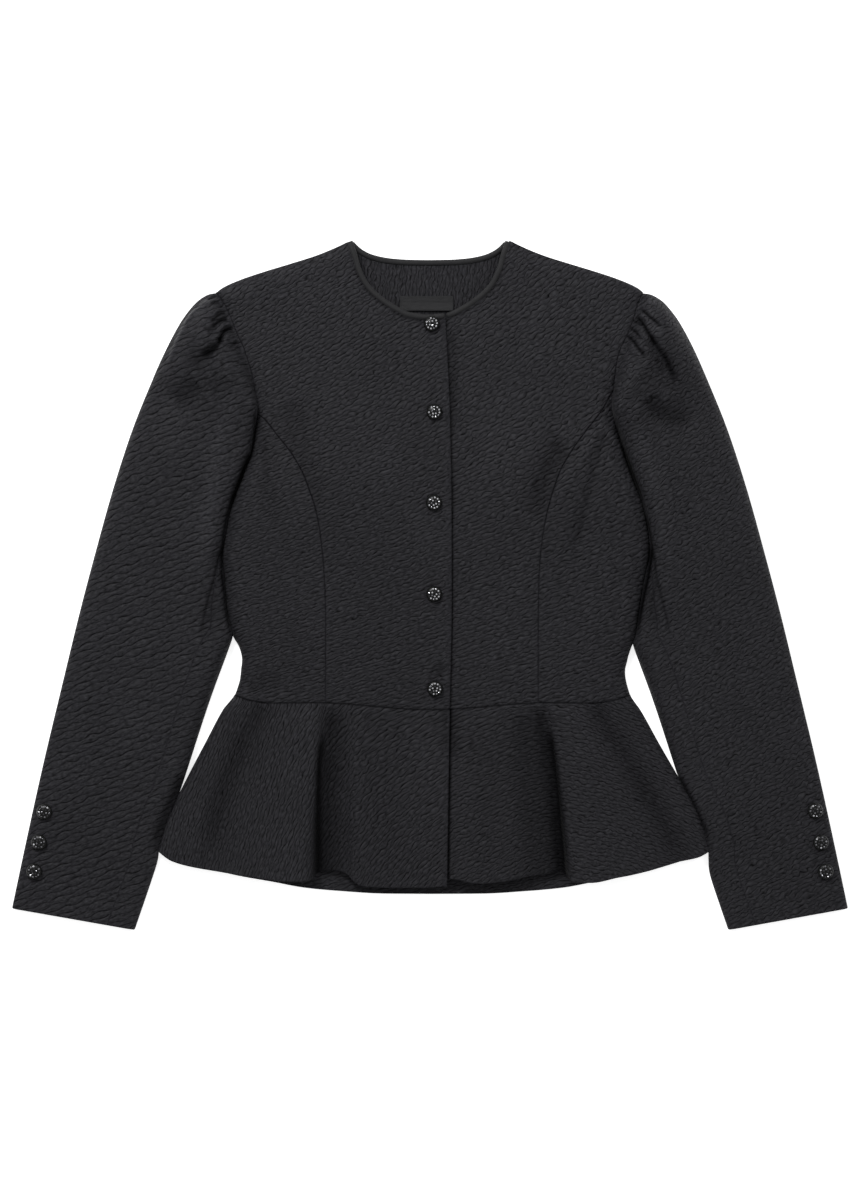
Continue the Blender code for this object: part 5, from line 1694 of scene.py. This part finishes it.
def cloth_look():
    """Black blistered cloth: creases between its blisters, a crepe grain and a faint nap, with shade painted
    into the creases, along the edges and on the sunken tufts, and highlight painted on the raised tufts.
    """
    look = Nodes("crinkled_cloth_look")
    p, q, depth = look.attribute_parts("weave")
    sway = look.math("SINE", look.math("MULTIPLY", p, 2 * math.pi))
    row = look.math("COSINE", look.math("MULTIPLY", q, math.pi))
    phase = look.math("ADD", q, look.math("MULTIPLY", look.math("MULTIPLY", sway, row), SWAY))
    ridge = look.math("ABSOLUTE", look.math("SINE", look.math("MULTIPLY", phase, math.pi)))
    deep = look.math("MULTIPLY", depth, 1 / DEPTH)
    crease = look.math("POWER", look.math("SUBTRACT", 1.0, ridge), CREASE_SHARPNESS)
    crease = look.math("MINIMUM", look.math("MULTIPLY", crease, deep), 1.0)
    strokes = look.strokes("threads", STROKE_SIZE)
    grain = look.noise(*CLOTH_GRAIN)
    slow = look.noise(*CLOTH_SLOW)
    # Painted shade from the creases and edges: it dims the colour and takes away shine there
    shade = look.node("ShaderNodeAttribute", attribute_name="shade").outputs["Fac"]
    unshaded = look.math("SUBTRACT", 1.0, shade)
    stroke = look.math("MULTIPLY", look.math("SUBTRACT", strokes, 0.5), STROKE_SHADE)
    # Painted shade in the crinkle's crease lines
    light = look.math("SUBTRACT", 1.0, look.math("MULTIPLY", crease, CREASE_PAINTED_SHADE))
    # Painted highlight on raised tufts, painted shade on sunken ones
    tuft = look.math("MULTIPLY", look.attribute_parts("threads")[2], TUFT_PAINTED_SHADE)
    stroke = look.math("ADD", stroke, tuft)
    light = look.math("MULTIPLY", light, look.math("MAXIMUM", look.math("ADD", 1.0, stroke), DARKEST_STROKE))
    light = look.math("MULTIPLY", light, unshaded)
    light = look.math("MULTIPLY", light, look.spread(slow, *SLOW_SHADE))
    lightest = [LIGHTEST * part for part in CLOTH_COLOUR]
    colour = look.blend(look.math("DIVIDE", light, LIGHTEST), grey(0.0), lightest)
    height = look.math("MULTIPLY", grain, RELIEF["grain"])
    height = look.math("SUBTRACT", height, look.math("MULTIPLY", crease, RELIEF["crease"]))
    height = look.math("ADD", height, look.math("MULTIPLY", strokes, RELIEF["strokes"]))
    shine = look.math("MULTIPLY", look.math("SUBTRACT", 1.0, crease), unshaded)
    shine = look.math("MULTIPLY", shine, look.math("MINIMUM", deep, 1.0))
    rough = look.spread(grain, *CLOTH_ROUGHNESS)
    return look.finish(
        Base_Color=colour,
        Roughness=rough,
        Specular_IOR_Level=look.math("MULTIPLY", shine, CLOTH_SHINE),
        Sheen_Weight=CLOTH_SHEEN[0],
        Sheen_Roughness=CLOTH_SHEEN[1],
        Normal=look.bump(height, RELIEF_HEIGHT, 1.0),
    )


def band_look():
    """Black bias binding: plain, finely woven on the slant."""
    look = Nodes("neck_binding_look")
    grain = look.noise(*BAND_GRAIN)
    slow = look.noise(*BAND_SLOW)
    light = look.spread(slow, *BAND_SHADE)
    return look.finish(
        Base_Color=look.blend(light, grey(0.0), BAND_COLOUR),
        Roughness=look.spread(grain, *BAND_ROUGHNESS),
        Specular_IOR_Level=BAND_SHINE,
        Sheen_Weight=BAND_SHEEN[0],
        Sheen_Roughness=BAND_SHEEN[1],
        Normal=look.bump(grain, *BAND_RELIEF),
    )


def label_look():
    """Bare satin tape: fine cross ribs and a soft shine."""
    look = Nodes("label_tape_look")
    ribs = look.node("ShaderNodeTexWave", bands_direction="Y")
    ribs.inputs["Scale"].default_value, ribs.inputs["Distortion"].default_value = LABEL_RIBS
    look.put(look.node("ShaderNodeTexCoord").outputs["Object"], ribs.inputs["Vector"])
    slow = look.noise(*LABEL_SLOW)
    light = look.spread(slow, *LABEL_SHADE)
    return look.finish(
        Base_Color=look.blend(light, grey(0.0), LABEL_COLOUR),
        Roughness=look.spread(slow, *LABEL_ROUGHNESS),
        Specular_IOR_Level=LABEL_SHINE,
        Normal=look.bump(ribs.outputs["Fac"], *LABEL_RELIEF),
    )


def jet_look():
    """Polished black button with a little wear."""
    look = Nodes("jet_button_look")
    slow = look.noise(*JET_SLOW)
    return look.finish(
        Base_Color=look.blend(slow, *map(grey, JET_TONES)),
        Roughness=look.spread(slow, *JET_ROUGHNESS),
        Specular_IOR_Level=JET_SHINE,
    )


def stone_look(name, dark, light):
    """Foil-backed cut stones: mirror facets that differ a little."""
    look = Nodes(name)
    slow = look.noise(*STONE_SLOW)
    return look.finish(
        Base_Color=look.blend(slow, dark, light),
        Metallic=STONE_METAL,
        Roughness=look.spread(slow, *STONE_ROUGHNESS),
    )


def floor_look():
    """Pale sheet, lit evenly from behind as on a light table."""
    look = Nodes("floor_look")
    slow = look.noise(*FLOOR_SLOW)
    return look.finish(
        Base_Color=look.blend(slow, *map(grey, FLOOR_TONES)),
        Roughness=FLOOR_ROUGHNESS,
        Specular_IOR_Level=FLOOR_SHINE,
        Emission_Color=grey(1.0),
        Emission_Strength=FLOOR_GLOW,
    )


def add_stage():
    """Pale surface, soft light from the upper left, and a camera straight above."""
    mesh = bpy.data.meshes.new("floor")
    half = FLOOR_HALF
    corners = [(-half, -half, 0), (half, -half, 0), (half, half, 0), (-half, half, 0)]
    mesh.from_pydata(corners, [], [(0, 1, 2, 3)])
    mesh.materials.append(floor_look())
    floor = bpy.data.objects.new("floor", mesh)
    floor.location.z = FLOOR_Z
    bpy.context.scene.collection.objects.link(floor)

    for name, place, size, power in LIGHTS:
        lamp = bpy.data.lights.new(name, "AREA")
        lamp.shape = "DISK"
        lamp.size = size
        lamp.energy = power
        thing = bpy.data.objects.new(name, lamp)
        thing.location = place
        thing.rotation_euler = (-Vector(place)).to_track_quat("-Z", "Y").to_euler()
        bpy.context.scene.collection.objects.link(thing)

    world = bpy.data.worlds.new("studio")
    world.use_nodes = True
    world.node_tree.nodes["Background"].inputs["Color"].default_value = (1.0, 1.0, 1.0, 1.0)
    world.node_tree.nodes["Background"].inputs["Strength"].default_value = WORLD_STRENGTH
    bpy.context.scene.world = world
    bpy.context.scene.view_settings.view_transform = "Standard"
    bpy.context.scene.view_settings.exposure = EXPOSURE

    eye = bpy.data.cameras.new("photo_camera")
    eye.sensor_fit = "VERTICAL"
    eye.sensor_height = SENSOR
    eye.sensor_width = SENSOR
    eye.lens = SENSOR * CAMERA_HEIGHT / PICTURE_HEIGHT
    eye.clip_end = CAMERA_REACH
    camera = bpy.data.objects.new("photo_camera", eye)
    camera.location = (PICTURE_MIDDLE[0], PICTURE_MIDDLE[1], CAMERA_HEIGHT)
    bpy.context.scene.collection.objects.link(camera)
    bpy.context.scene.camera = camera


LOOKS = {
    "cloth": cloth_look(),
    "band": band_look(),
    "label": label_look(),
    "jet": jet_look(),
    "stones": [stone_look(f"cut_stone_{name}", *colours) for name, colours in STONE_COLOURS.items()],
}
add_stage()
add_bodice()
add_peplum()
add_sleeves()
add_neck()
add_buttons()
